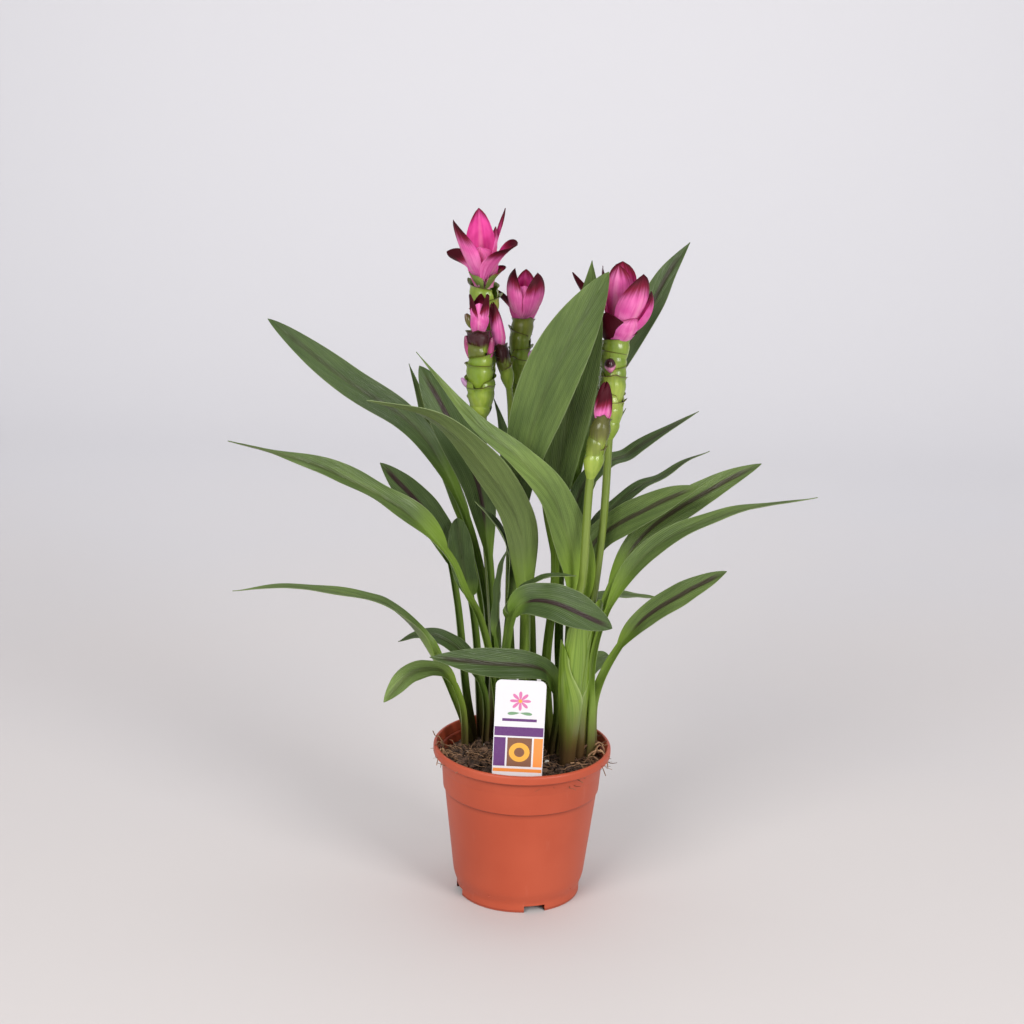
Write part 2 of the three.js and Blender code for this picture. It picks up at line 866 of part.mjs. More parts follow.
function stemRings(flower) {
  const curve = routeCurve(flower);
  const length = curve.getLength();
  const spikeLength = flower.spikeLength;
  const stalkLength = length - spikeLength;
  const rings = [];
  for (let row = 0; row <= flower.stalkRows; row += 1) {
    const t = ((row / flower.stalkRows) * (stalkLength - 2)) / length;
    const radius = row < sheathRows ? footRadius(flower) : flower.stalkRadius;
    const radii = new Array(spikeSides).fill(radius);
    rings.push(stemRing(curve.getPointAt(t), curve.getTangentAt(t), radii));
  }
  const cups = flower.cupRadii.length;
  const pitch = spikeLength / (cups + 0.25);
  const cupShape = [
    [0.05, 0.55, 0],
    [0.55, 0.88, 0.5],
    [1.25, 1, 1],
    [1.02, 0.8, 0.7],
  ];
  flower.cupRadii.forEach((cupRadius, cup) => {
    for (const [rise, swell, lobe] of cupShape) {
      const radii = [];
      const heights = [];
      for (let side = 0; side < spikeSides; side += 1) {
        const turn = (side * 2 * Math.PI) / spikeSides;
        const wave = Math.cos(3 * turn + cup * Math.PI + 0.6) * lobe;
        radii.push(cupRadius * swell * (1 + 0.1 * wave));
        heights.push((cup + rise + 0.12 * wave) * pitch);
      }
      const ring = heights.map((height, side) => {
        const t = Math.min(1, (stalkLength + height) / length);
        return stemRing(curve.getPointAt(t), curve.getTangentAt(t), radii)[side];
      });
      rings.push(ring);
    }
  });
  const crown = new Array(spikeSides).fill(flower.cupRadii[cups - 1] * 0.5);
  const t = (stalkLength + (cups + 0.1) * pitch) / length;
  rings.push(stemRing(curve.getPointAt(t), curve.getTangentAt(t), crown));
  return { rings, foot: curve.getPointAt(0), head: curve.getPointAt(t) };
}

function flowerStemSolid(flower) {
  const { rings, foot, head } = stemRings(flower);
  return ringSolid(rings, foot, head);
}

// A bract: a petal-like blade that stands on the head's axis. Its leans are the angles at its
// root and its tip. It is cupped round the axis and may roll to one side.

function bractWidth(t, piece) {
  const waist = mix(bract.waist, 1, smooth(t / 0.5));
  const past = Math.max(0, (t - 0.5) / 0.5);
  const taper = (1 - past ** (piece.point ?? bract.point)) ** bract.taperPower;
  return Math.max(bract.tipWidth, piece.width * waist * taper);
}

function bractLean(t, [rootLean, tipLean]) {
  return radians(mix(rootLean, tipLean, t ** bract.leanPower));
}

function turned(first, second, angle) {
  return first.clone().multiplyScalar(Math.cos(angle)).addScaledVector(second, Math.sin(angle));
}

function bractRow(piece, t, radius, height) {
  const outward = turned(new THREE.Vector3(1, 0, 0), new THREE.Vector3(0, 1, 0), radians(piece.turn));
  const up = new THREE.Vector3(0, 0, 1);
  const sideways = new THREE.Vector3().crossVectors(up, outward);
  const skin = turned(outward, up, -bractLean(t, piece.leans));
  const roll = radians((piece.roll ?? 0) * smooth(t));
  const side = turned(sideways, skin, roll);
  const face = turned(skin, sideways, -roll);
  const rib = outward.clone().multiplyScalar(radius).addScaledVector(up, height);
  const cup = piece.cup ?? bract.cup;
  const upper = [];
  const lower = [];
  for (let column = 0; column <= bract.columns; column += 1) {
    const u = (2 * column) / bract.columns - 1;
    const normal = turned(face, side, (u * bractWidth(t, piece)) / 2 / cup);
    const point = rib.clone().addScaledVector(normal, cup).addScaledVector(face, -cup);
    upper.push(point);
    lower.push(point.clone().addScaledVector(normal, -bract.thickness));
  }
  return { upper, lower };
}

function bractSolid(piece) {
  const count = Math.min(bract.mostRows, Math.ceil(piece.length / bract.rowLength));
  const step = piece.length / count;
  let radius = bract.rootRadius;
  let height = piece.rise;
  const rows = [bractRow(piece, 0, radius, height)];
  for (let row = 1; row <= count; row += 1) {
    const lean = bractLean((row - 0.5) / count, piece.leans);
    radius += step * Math.sin(lean);
    height += step * Math.cos(lean);
    rows.push(bractRow(piece, row / count, radius, height));
  }
  return toSolid(sheetSolid(rows));
}

function coreSolid(radius, height) {
  const cone = new THREE.CylinderGeometry(radius * 0.35, radius, height, 10);
  cone.rotateX(Math.PI / 2);
  cone.translate(0, 0, height / 2);
  return toSolid(cone);
}

// A head that is still closed: three bracts rolled round each other into a spindle.
const budRolls = { rings: 6, sides: 9, footWidth: 0.5, tipWidth: 0.12, lobe: 0.09, twist: 1.4 };

function budSolid({ length, radius, fullAt }) {
  const rings = [];
  for (let ring = 0; ring <= budRolls.rings; ring += 1) {
    const t = ring / budRolls.rings;
    const past = Math.max(0, (t - fullAt) / (1 - fullAt));
    const round = Math.max(budRolls.tipWidth, Math.sqrt(1 - past ** 2));
    const swell = mix(budRolls.footWidth, 1, smooth(t / fullAt)) * round;
    rings.push(
      Array.from({ length: budRolls.sides }, (unused, side) => {
        const turn = (side * 2 * Math.PI) / budRolls.sides;
        const reach = radius * swell * (1 + budRolls.lobe * Math.cos(3 * turn + budRolls.twist * t));
        return new THREE.Vector3(reach * Math.cos(turn), reach * Math.sin(turn), length * t);
      }),
    );
  }
  return toSolid(ringSolid(rings, new THREE.Vector3(0, 0, 0), new THREE.Vector3(0, 0, length)));
}

function openHeadSolid(flower, coreRadius) {
  const core = coreSolid(coreRadius, flower.coreHeight);
  return mainBody(joined([core, ...flower.bracts.map(bractSolid)]));
}

function headSolid(flower) {
  const { rings, head } = stemRings(flower);
  const crown = rings[rings.length - 1];
  const route = flower.route;
  const top = new THREE.Vector3(...route[route.length - 1]);
  const axis = new THREE.Vector3(...flower.headTop).sub(top).normalize();
  const whole = flower.bud ? budSolid(flower.bud) : openHeadSolid(flower, crown[0].distanceTo(head) * 0.9);
  const turn = new THREE.Quaternion().setFromUnitVectors(new THREE.Vector3(0, 0, 1), axis);
  const place = new THREE.Matrix4().compose(
    head.clone().addScaledVector(axis, clearance * 2),
    turn,
    new THREE.Vector3(1, 1, 1),
  );
  return toGeometry(whole).applyMatrix4(place);
}

const tallBracts = [
  { turn: 95, rise: 9, length: 60, width: 29, leans: [6, -6], cup: 15, point: 1.5 },
  { turn: 15, rise: 7, length: 48, width: 30, leans: [28, -6], cup: 15 },
  { turn: 30, rise: 8, length: 62, width: 7, leans: [22, 20], cup: 6 },
  { turn: -148, rise: 5, length: 63, width: 29, leans: [30, 8], cup: 14 },
  { turn: 172, rise: 8, length: 38, width: 24, leans: [36, 60], cup: 13, roll: -62, point: 2.6 },
  { turn: -38, rise: 5, length: 52, width: 31, leans: [30, 64], cup: 14, roll: -18, point: 3.6 },
  { turn: -92, rise: 3, length: 38, width: 32, leans: [20, 4], cup: 15, point: 2.6 },
  { turn: -12, rise: 0.6, length: 27, width: 22, leans: [34, 50], roll: -20 },
  { turn: -168, rise: 0.6, length: 20, width: 24, leans: [34, 22] },
];
const frontBracts = [
  { turn: 80, rise: 1, length: 35, width: 17, leans: [16, -10], cup: 7.7 },
  { turn: -160, rise: 1, length: 36, width: 16, leans: [20, -4], cup: 7.7, point: 2.2 },
  { turn: -25, rise: 1, length: 37, width: 17, leans: [24, -16], cup: 7.7, point: 2.2 },
  { turn: -90, rise: 1, length: 30, width: 20, leans: [26, -16], cup: 7.9, point: 2.4 },
];
const middleBracts = [
  { turn: 95, rise: 5, length: 42, width: 24, leans: [14, -8], cup: 12 },
  { turn: -36, rise: 4, length: 48, width: 31, leans: [50, -40], cup: 13, point: 2.4 },
  { turn: -148, rise: 3, length: 50, width: 26, leans: [44, -34], cup: 12 },
  { turn: 178, rise: 3, length: 33, width: 15, leans: [40, 44], cup: 11, roll: -40 },
  { turn: -92, rise: 0.6, length: 36, width: 34, leans: [34, -20], cup: 13, point: 2.4 },
];
const rightBracts = [
  { turn: 100, rise: 10, length: 60, width: 32, leans: [8, -8], cup: 15, point: 3.4 },
  { turn: -118, rise: 8, length: 60, width: 34, leans: [16, -10], cup: 15, point: 2.6 },
  { turn: 8, rise: 7, length: 54, width: 34, leans: [70, -28], cup: 15, point: 2.8 },
  { turn: -46, rise: 9, length: 62, width: 40, leans: [50, -18], cup: 17, point: 2.2 },
  { turn: 165, rise: 7, length: 60, width: 24, leans: [26, -2], cup: 13 },
  { turn: -170, rise: 5, length: 66, width: 18, leans: [38, 34], cup: 11, roll: -30 },
  { turn: -46, rise: 0.6, length: 34, width: 38, leans: [64, -14], cup: 16, point: 3.4 },
  { turn: -122, rise: 0.9, length: 36, width: 34, leans: [62, -14], cup: 15, point: 3.2 },
  { turn: -22, rise: 0.6, length: 21, width: 15, leans: [46, 54], roll: -20 },
];
const flowers = [
  {
    name: "flower_tall",
    stalkRadius: 3.2,
    stalkRows: 5,
    spikeLength: 92,
    cupRadii: [9, 11.5, 12, 12, 12, 12.5],
    coreHeight: 16,
    headTop: [-49, 44, 576],
    bracts: tallBracts,
    foot: [-17, 50],
    route: [[-26, 58, 198], [-32, 61, 265], [-39, 60, 327], [-42, 53, 416], [-43, 48, 509]],
  },
  {
    name: "flower_front",
    stalkRadius: 3,
    stalkRows: 5,
    spikeLength: 70,
    cupRadii: [10, 12.5, 11.5, 11, 9.5],
    coreHeight: 12,
    headTop: [-46, 19, 506],
    bracts: frontBracts,
    foot: [-27, 41],
    route: [[-28, 45, 203], [-39, 38, 333], [-41, 31, 378], [-42, 24, 407], [-46, 20, 476]],
  },
  {
    name: "flower_slim",
    stalkRadius: 2.6,
    stalkRows: 5,
    spikeLength: 36,
    cupRadii: [6.2, 6.4],
    headTop: [-36, 30, 504],
    bud: { length: 42, radius: 5.5, fullAt: 0.3 },
    foot: [-9, 57],
    route: [[-15, 56, 204], [-17, 50, 348], [-20, 38, 427], [-28, 32, 463]],
  },
  {
    name: "flower_middle",
    stalkRadius: 3,
    stalkRows: 5,
    spikeLength: 62,
    cupRadii: [8, 9.5, 9.5, 10],
    coreHeight: 12,
    headTop: [-9, 66, 522],
    bracts: middleBracts,
    foot: [2, 48],
    route: [[1, 50, 188], [-1, 55, 241], [-13, 60, 346], [-16, 62, 419], [-11, 64, 479]],
  },
  {
    name: "flower_right",
    stalkRadius: 3.2,
    stalkRows: 5,
    spikeLength: 78,
    cupRadii: [9, 11, 11.5, 11.5, 12],
    coreHeight: 16,
    headTop: [69, 30, 539],
    bracts: rightBracts,
    foot: [48, -5],
    route: [[48, -3, 209], [54, 0, 252], [61, 9, 328], [63, 19, 395], [65, 26, 471]],
  },
  {
    name: "flower_bud",
    stalkRadius: 3.3,
    sheathRadius: 6.5,
    stalkRows: 5,
    spikeLength: 46,
    cupRadii: [9, 8.4],
    headTop: [58, -20, 452],
    bud: { length: 38, radius: 7, fullAt: 0.35 },
    foot: [38, -14],
    route: [[42, -18, 266], [45, -18, 284], [48, -20, 371], [55, -20, 415]],
  },
];

// A young shoot, still rolled into a slim dark spear

const shoot = { radius: 2.6, tipRadius: 0.7, rows: 7, sides: 8 };
const youngShoot = {
  foot: [42, 31],
  route: [[43, 31, 206], [43, 27, 296], [41, 24, 327]],
};

function shootSolid() {
  const curve = routeCurve(youngShoot);
  const rings = [];
  for (let row = 0; row <= shoot.rows; row += 1) {
    const t = row / shoot.rows;
    const radius = mix(shoot.radius, shoot.tipRadius, smooth((t - 0.75) / 0.25));
    const radii = new Array(shoot.sides).fill(radius);
    rings.push(stemRing(curve.getPointAt(t), curve.getTangentAt(t), radii));
  }
  return ringSolid(rings, curve.getPointAt(0), curve.getPointAt(1));
}

// Assembly

// A plain upright hole in the soil, wide enough for the folded stalk that stands in it.
function plainHole([x, y], radius) {
  const foot = stemFoot - clearance;
  const tube = new THREE.CylinderGeometry(radius, radius, hole.top - foot, hole.sides);
  tube.rotateX(Math.PI / 2);
  tube.translate(x, y, (hole.top + foot) / 2);
  return toSolid(tube);
}

function leafHole(leaf) {
  const fold = radians(stalk.fold);
  const across = (leaf.stem / 2) * Math.cos(fold);
  const deep = Math.max(stalk.rib, (leaf.stem / 2) * Math.sin(fold));
  return plainHole(leaf.foot, Math.hypot(across, deep) + hole.ease);
}

const plant = new THREE.Group();

function place(name, geometry, paintName) {
  const mesh = new THREE.Mesh(geometry, material(paintName));
  mesh.name = name;
  plant.add(mesh);
}

const stemHoles = [
  ...leaves.map(leafHole),
  ...flowers.map((flower) => plainHole(flower.foot, footRadius(flower) + hole.ease)),
  plainHole(youngShoot.foot, shoot.radius + hole.ease),
];
const rhizomePockets = rhizomes.map(({ lumps }) => rhizomeSolid(lumps, clearance));

place("pot", toGeometry(potSolid()), "terracotta");
place("soil", toGeometry(soilSolid([...stemHoles, ...rhizomePockets, labelSolid(clearance)])), "peat");
place("label", toGeometry(labelSolid(0)), "card");
for (const { name, lumps } of rhizomes) {
  place(name, toGeometry(rhizomeSolid(lumps, 0)), "root");
}
for (const leaf of leaves) {
  place(leaf.name, leafSolid(leaf), leaf.tone);
}
for (const flower of flowers) {
  place(`${flower.name}_stem`, flowerStemSolid(flower), "spikeGreen");
  place(`${flower.name}_bracts`, headSolid(flower), "bractPink");
}
place("young_shoot", shootSolid(), "bractMaroon");

export default plant;
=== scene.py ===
# %% [markdown]
# # A siam tulip in its nursery pot
#
# A siam tulip is a Curcuma. Long ribbed leaves stand on channelled stalks, and between them
# rise green spikes that end in a tuft of pink bracts with dark tips. This one grows in a
# plain terracotta-coloured plastic pot with a card tag stuck in the soil.
#
# The measured model is loaded first. It holds the plain solids in their true places, so every
# fine surface here only has to follow them.

# %% Load the measured model
import math
import random

import bmesh
import bpy
import numpy as np
from mathutils import Matrix, Vector


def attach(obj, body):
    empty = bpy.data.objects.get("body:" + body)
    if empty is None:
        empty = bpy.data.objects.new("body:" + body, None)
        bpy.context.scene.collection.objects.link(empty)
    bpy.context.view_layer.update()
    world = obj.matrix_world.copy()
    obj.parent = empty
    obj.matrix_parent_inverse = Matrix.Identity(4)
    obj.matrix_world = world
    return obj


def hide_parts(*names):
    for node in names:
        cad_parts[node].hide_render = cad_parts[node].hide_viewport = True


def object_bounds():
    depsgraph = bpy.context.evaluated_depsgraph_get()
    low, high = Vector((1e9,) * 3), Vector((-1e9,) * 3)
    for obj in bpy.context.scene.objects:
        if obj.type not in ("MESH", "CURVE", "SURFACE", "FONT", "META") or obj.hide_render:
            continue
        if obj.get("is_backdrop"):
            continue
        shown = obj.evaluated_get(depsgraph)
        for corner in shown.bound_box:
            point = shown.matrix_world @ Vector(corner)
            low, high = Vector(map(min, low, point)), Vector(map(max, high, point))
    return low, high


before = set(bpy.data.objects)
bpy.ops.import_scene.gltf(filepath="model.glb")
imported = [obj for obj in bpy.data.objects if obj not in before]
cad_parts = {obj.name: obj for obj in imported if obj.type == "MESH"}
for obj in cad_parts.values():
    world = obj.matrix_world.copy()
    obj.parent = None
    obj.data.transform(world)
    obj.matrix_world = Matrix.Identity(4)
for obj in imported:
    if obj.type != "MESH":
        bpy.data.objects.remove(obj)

cad_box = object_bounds()


def box_corners(box):
    """Both corners of a box in metres, rounded to a millimetre for printing."""
    return [tuple(round(c, 3) for c in corner) for corner in box]


print("measured model:", len(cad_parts), "nodes, box", box_corners(cad_box))

# %% [markdown]
# ## Small helpers
#
# Lengths in the tables are millimetres, because a leaf is easier to think of as 26 mm wide
# than as 0.026 m. They are turned into metres only when a mesh is made.

# %% Units and blends
MM = 0.001


def smooth(value):
    """Eases from 0 to 1 and stays there."""
    k = np.clip(value, 0.0, 1.0)
    return k * k * (3 - 2 * k)


def mix(start, end, k):
    return start + (end - start) * k


def unit(vectors):
    vectors = np.asarray(vectors, float)
    return vectors / np.maximum(np.linalg.norm(vectors, axis=-1, keepdims=True), 1e-9)


def full_turn(count):
    """Directions spread evenly round a circle."""
    return np.linspace(0, 2 * math.pi, count, endpoint=False)


def sheet_grid(rows, columns):
    """Shares up a sheet from 0 to 1, as a column, and across it from -1 to 1, as a row."""
    return np.linspace(0, 1, rows)[:, None], np.linspace(-1, 1, columns)[None, :]


# %% [markdown]
# ## The middle line of a leaf or stem
#
# Each leaf and each stem follows one smooth line from its foot in the soil to its tip. The
# line passes through a few chosen points. A centripetal Catmull-Rom curve is used because it
# never overshoots or loops where two points lie close together.
#
# A thread of root is a plain line through its points. Both kinds of line can be asked for a
# place, a heading, or points round them, and that is all that the surfaces below need.

# %% One span of a smooth curve
STEPS_PER_SPAN = 40


def span_points(before, start, end, after):
    """Points along one span of the curve, from start up to end."""
    pairs = ((before, start), (start, end), (end, after))
    first, middle, last = [np.linalg.norm(b - a) ** 0.5 for a, b in pairs]
    leave = ((start - before) / first - (end - before) / (first + middle) + (end - start) / middle) * middle
    arrive = ((end - start) / middle - (after - start) / (middle + last) + (after - end) / last) * middle
    s = np.linspace(0, 1, STEPS_PER_SPAN, endpoint=False)[:, None]
    square = 3 * (end - start) - 2 * leave - arrive
    cube = 2 * (start - end) + leave + arrive
    return start + leave * s + square * s**2 + cube * s**3


# %% Lines to follow
STEM_FOOT = 106
UPRIGHT_FOOT = 16
NUDGE = 0.004
LAST_STEPS = 5


class Line:
    """A line through points that can be asked for its place and heading at a share of it."""

    def __init__(self, points):
        self.points = np.array(points, float)
        steps = np.linalg.norm(np.diff(self.points, axis=0), axis=1)
        self.walked = np.concatenate([[0], np.cumsum(steps)])
        self.length = self.walked[-1]

    def at(self, share):
        """The place at a share of the length. Past the end the line goes straight on."""
        along = np.asarray(share, float) * self.length
        place = np.stack([np.interp(along, self.walked, c) for c in self.points.T], -1)
        onward = unit(self.points[-1] - self.points[-1 - LAST_STEPS])
        return place + np.maximum(along - self.length, 0)[..., None] * onward

    def heading(self, share):
        """Which way the line runs, seen from a little behind to a little ahead."""
        return unit(self.at(share + NUDGE) - self.at(np.maximum(share - NUDGE, 0)))


class MiddleLine(Line):
    """The smooth line of a leaf or stem: upright at its foot, and then through its route."""

    def __init__(self, foot, route):
        x, y = foot
        stops = np.array([(x, y, STEM_FOOT), (x, y, STEM_FOOT + UPRIGHT_FOOT), *route], float)
        stops = np.vstack([2 * stops[0] - stops[1], stops, 2 * stops[-1] - stops[-2]])
        spans = [span_points(*stops[k : k + 4]) for k in range(len(stops) - 3)]
        super().__init__(np.vstack([*spans, stops[-2:-1]]))


def around(line, share, radius, turn):
    """Points at a distance from a line, at a turn round it."""
    share, radius, turn = np.broadcast_arrays(share, radius, turn)
    centre, along = line.at(share), line.heading(share)
    across = unit(np.array([1.0, 0, 0]) - along * along[..., :1])
    back = np.cross(along, across)
    return centre + across * (radius * np.cos(turn))[..., None] + back * (radius * np.sin(turn))[..., None]


# %% [markdown]
# ## From numbers to a mesh
#
# Leaves, bracts and pouches are all thin sheets: a grid of points for the upper face, a second
# grid just under it, and a narrow band of faces around the rim. Closed sheets look right from
# every side and can be printed or measured.
#
# Each point also carries a few plain numbers, such as how far it is from the rib. The finishes
# read those numbers, so veins and streaks follow the form without any picture.

# %% Heap of surfaces
class Heap:
    """Gathers the surfaces of one piece together with the numbers that its finish reads."""

    def __init__(self):
        self.points = []
        self.faces = []
        self.slots = []
        self.numbers = []
        self.count = 0

    def add(self, points, faces, slot=0, **numbers):
        """Takes in points, the faces between them, and the numbers that the points carry."""
        points = np.asarray(points, float).reshape(-1, 3)
        self.points.append(points)
        self.faces.extend(tuple(int(k) + self.count for k in face) for face in faces)
        self.slots.extend([slot] * len(faces))
        self.numbers.append({name: np.broadcast_to(np.asarray(value, float), (len(points),))
                             for name, value in numbers.items()})
        self.count += len(points)

    def number(self, name):
        """One number for every point. A surface that wasn't given it counts as 0."""
        lists = [given.get(name, np.zeros(len(points)))
                 for given, points in zip(self.numbers, self.points)]
        return np.concatenate(lists).astype(np.float32)

    def add_sheet(self, upper, lower, **numbers):
        """Closes two grids of points, row by row, into one thin sheet."""
        rows, columns = upper.shape[:2]
        index = np.arange(rows * columns).reshape(rows, columns)
        under = index + rows * columns
        faces = []
        for r in range(rows - 1):
            for c in range(columns - 1):
                faces.append((index[r, c], index[r, c + 1], index[r + 1, c + 1], index[r + 1, c]))
                faces.append((under[r, c], under[r + 1, c], under[r + 1, c + 1], under[r, c + 1]))
        rim = [*index[0], *index[1:, -1], *index[-1, -2::-1], *index[-2:0:-1, 0]]
        for here, there in zip(rim, rim[1:] + rim[:1]):
            faces.append((there, here, here + rows * columns, there + rows * columns))
        doubled = {name: np.tile(np.broadcast_to(value, (rows, columns)).ravel(), 2)
                   for name, value in numbers.items()}
        side = np.repeat([0.0, 1.0], rows * columns)
        self.add(np.concatenate([upper.reshape(-1, 3), lower.reshape(-1, 3)]), faces, under=side, **doubled)

    def add_tube(self, rings, **numbers):
        """Closes a stack of rings of points into a round body with flat ends."""
        rows, sides = rings.shape[:2]
        index = np.arange(rows * sides).reshape(rows, sides)
        faces = [tuple(index[0][::-1]), tuple(index[-1])]
        for r in range(rows - 1):
            for s in range(sides):
                t = (s + 1) % sides
                faces.append((index[r, s], index[r, t], index[r + 1, t], index[r + 1, s]))
        spread = {name: np.broadcast_to(value, (rows, sides)).ravel() for name, value in numbers.items()}
        self.add(rings, faces, **spread)


# %% Make a piece
SHARP_ANGLE = math.radians(55)


def make_piece(name, heap, finishes, nodes):
    """Turns a heap in millimetres into one Blender object that stands for some CAD nodes."""
    mesh = bpy.data.meshes.new(name)
    mesh.from_pydata((np.vstack(heap.points) * MM).tolist(), [], heap.faces)
    for key in sorted({name for given in heap.numbers for name in given}):
        mesh.attributes.new(key, "FLOAT", "POINT").data.foreach_set("value", heap.number(key))
    for finish in finishes:
        mesh.materials.append(finish)
    mesh.polygons.foreach_set("material_index", heap.slots)
    mesh.shade_smooth()
    mesh.set_sharp_from_angle(angle=SHARP_ANGLE)
    piece = bpy.data.objects.new(name, mesh)
    bpy.context.scene.collection.objects.link(piece)
    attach(piece, "root")
    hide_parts(*nodes)
    return piece


def tell(title, pieces):
    """Prints how many pieces were made, and how many faces they have together."""
    print(f"{title}: {len(pieces)} made, with {sum(len(piece.data.polygons) for piece in pieces)} faces")


# %% [markdown]
# ## Writing a finish
#
# A finish is a small graph of shader nodes. This helper keeps the graphs short to read: each
# verb adds one node, joins its inputs, and gives back the output to use next. An input can be
# a plain number, a colour, or another node's output.

# %% Recipe for a finish
# Places of the two colour inputs and the colour output on Blender's Mix node
FIRST_COLOUR, SECOND_COLOUR, MIXED_COLOUR = 6, 7, 2


class Recipe:
    """Builds the node graph of one material."""

    def __init__(self, name):
        self.material = bpy.data.materials.new(name)
        self.material.use_nodes = True
        self.tree = self.material.node_tree
        self.tree.nodes.clear()
        self.shader = self.tree.nodes.new("ShaderNodeBsdfPrincipled")
        self.out = self.tree.nodes.new("ShaderNodeOutputMaterial")
        self.tree.links.new(self.shader.outputs[0], self.out.inputs["Surface"])

    def feed(self, socket, value):
        """Joins a socket to another node's output, or sets it to a number or a colour."""
        if isinstance(value, bpy.types.NodeSocket):
            self.tree.links.new(value, socket)
        elif isinstance(value, (tuple, list)) and len(value) == 3 and socket.type == "RGBA":
            socket.default_value = (*value, 1)
        else:
            socket.default_value = value

    def number(self, name):
        """Reads a number that the mesh carries at each point."""
        node = self.tree.nodes.new("ShaderNodeAttribute")
        node.attribute_name = name
        return node.outputs["Fac"]

    def place(self, stretch=(1, 1, 1)):
        """The point's own place on the object, in metres, stretched along each axis."""
        node = self.tree.nodes.new("ShaderNodeTexCoord")
        scaled = self.tree.nodes.new("ShaderNodeVectorMath")
        scaled.operation = "MULTIPLY"
        self.feed(scaled.inputs[0], node.outputs["Object"])
        scaled.inputs[1].default_value = stretch
        return scaled.outputs[0]

    def axis(self, name):
        """How far along X, Y or Z the point lies, in metres."""
        node = self.tree.nodes.new("ShaderNodeSeparateXYZ")
        self.feed(node.inputs[0], self.place())
        return node.outputs[name]

    def join(self, x, y, z):
        """Makes one place out of three numbers, to read a noise at."""
        node = self.tree.nodes.new("ShaderNodeCombineXYZ")
        for socket, value in zip(node.inputs, (x, y, z)):
            self.feed(socket, value)
        return node.outputs[0]

    def noise(self, where, scale, detail=3.0, rough=0.5):
        """Soft clouds, from 0 to 1. A larger scale makes them smaller."""
        node = self.tree.nodes.new("ShaderNodeTexNoise")
        self.feed(node.inputs["Vector"], where)
        node.inputs["Scale"].default_value = scale
        node.inputs["Detail"].default_value = detail
        node.inputs["Roughness"].default_value = rough
        return node.outputs["Fac"]

    def cells(self, where, scale):
        """The distance to the nearest of many scattered spots."""
        node = self.tree.nodes.new("ShaderNodeTexVoronoi")
        self.feed(node.inputs["Vector"], where)
        node.inputs["Scale"].default_value = scale
        return node.outputs["Distance"]

    def maths(self, operation, first, second=0.0):
        node = self.tree.nodes.new("ShaderNodeMath")
        node.operation = operation
        for socket, value in zip(node.inputs, (first, second)):
            self.feed(socket, value)
        return node.outputs[0]

    def plus(self, first, second):
        return self.maths("ADD", first, second)

    def minus(self, first, second):
        return self.maths("SUBTRACT", first, second)

    def times(self, first, second):
        return self.maths("MULTIPLY", first, second)

    def size_of(self, value):
        """The value without its sign."""
        return self.maths("ABSOLUTE", value)

    def between(self, value, low, high, start=0.0, end=1.0):
        """Moves from start to end, smoothly, as value goes from low to high."""
        node = self.tree.nodes.new("ShaderNodeMapRange")
        node.interpolation_type = "SMOOTHSTEP"
        for socket, given in zip(node.inputs, (value, low, high, start, end)):
            self.feed(socket, given)
        return node.outputs[0]

    def blend(self, share, first, second, way="MIX"):
        """Lays a share of the second colour over the first."""
        node = self.tree.nodes.new("ShaderNodeMix")
        node.data_type = "RGBA"
        node.blend_type = way
        self.feed(node.inputs["Factor"], share)
        self.feed(node.inputs[FIRST_COLOUR], first)
        self.feed(node.inputs[SECOND_COLOUR], second)
        return node.outputs[MIXED_COLOUR]

    def bump(self, height, depth):
        """Tilts the surface as if it had this relief, with its depth in metres."""
        node = self.tree.nodes.new("ShaderNodeBump")
        node.inputs["Strength"].default_value = 1.0
        node.inputs["Distance"].default_value = depth
        self.feed(node.inputs["Height"], height)
        return node.outputs[0]

    def finish(self, **sockets):
        """Sets the shader's own inputs, such as base_color or roughness, and gives the material."""
        for key, value in sockets.items():
            label = " ".join(word.capitalize() for word in key.split("_")).replace("Ior", "IOR")
            self.feed(self.shader.inputs[label], value)
        return self.material

    def let_light_through(self, colour, share, normal):
        """Adds the glow of light that passes through a thin leaf or petal."""
        glow = self.tree.nodes.new("ShaderNodeBsdfTranslucent")
        self.feed(glow.inputs["Color"], colour)
        self.feed(glow.inputs["Normal"], normal)
        both = self.tree.nodes.new("ShaderNodeMixShader")
        both.inputs[0].default_value = share
        self.tree.links.new(self.shader.outputs[0], both.inputs[1])
        self.tree.links.new(glow.outputs[0], both.inputs[2])
        self.tree.links.new(both.outputs[0], self.out.inputs["Surface"])


# %% [markdown]
# ## The view
#
# The plant was seen from the front, from 1.8 m away and 24 degrees above the middle of the
# pot, through a lens that takes in little more than the plant. The camera points a little
# less steeply down than it looks from, so the plant fills the frame, and it is held very
# slightly askew.

# %% Camera
DISTANCE = 1.8
AIM_HEIGHT = 0.066
LOOKS_DOWN_FROM = math.radians(24.0)
PITCH = math.radians(15.73)
ROLL = math.radians(1.87)
FRAME_PIXELS = 1024
FOCAL_PIXELS = 2084
SIDE_SHIFT_PIXELS = 17.7
SENSOR_WIDTH = 36
NEAREST_SEEN = 0.05

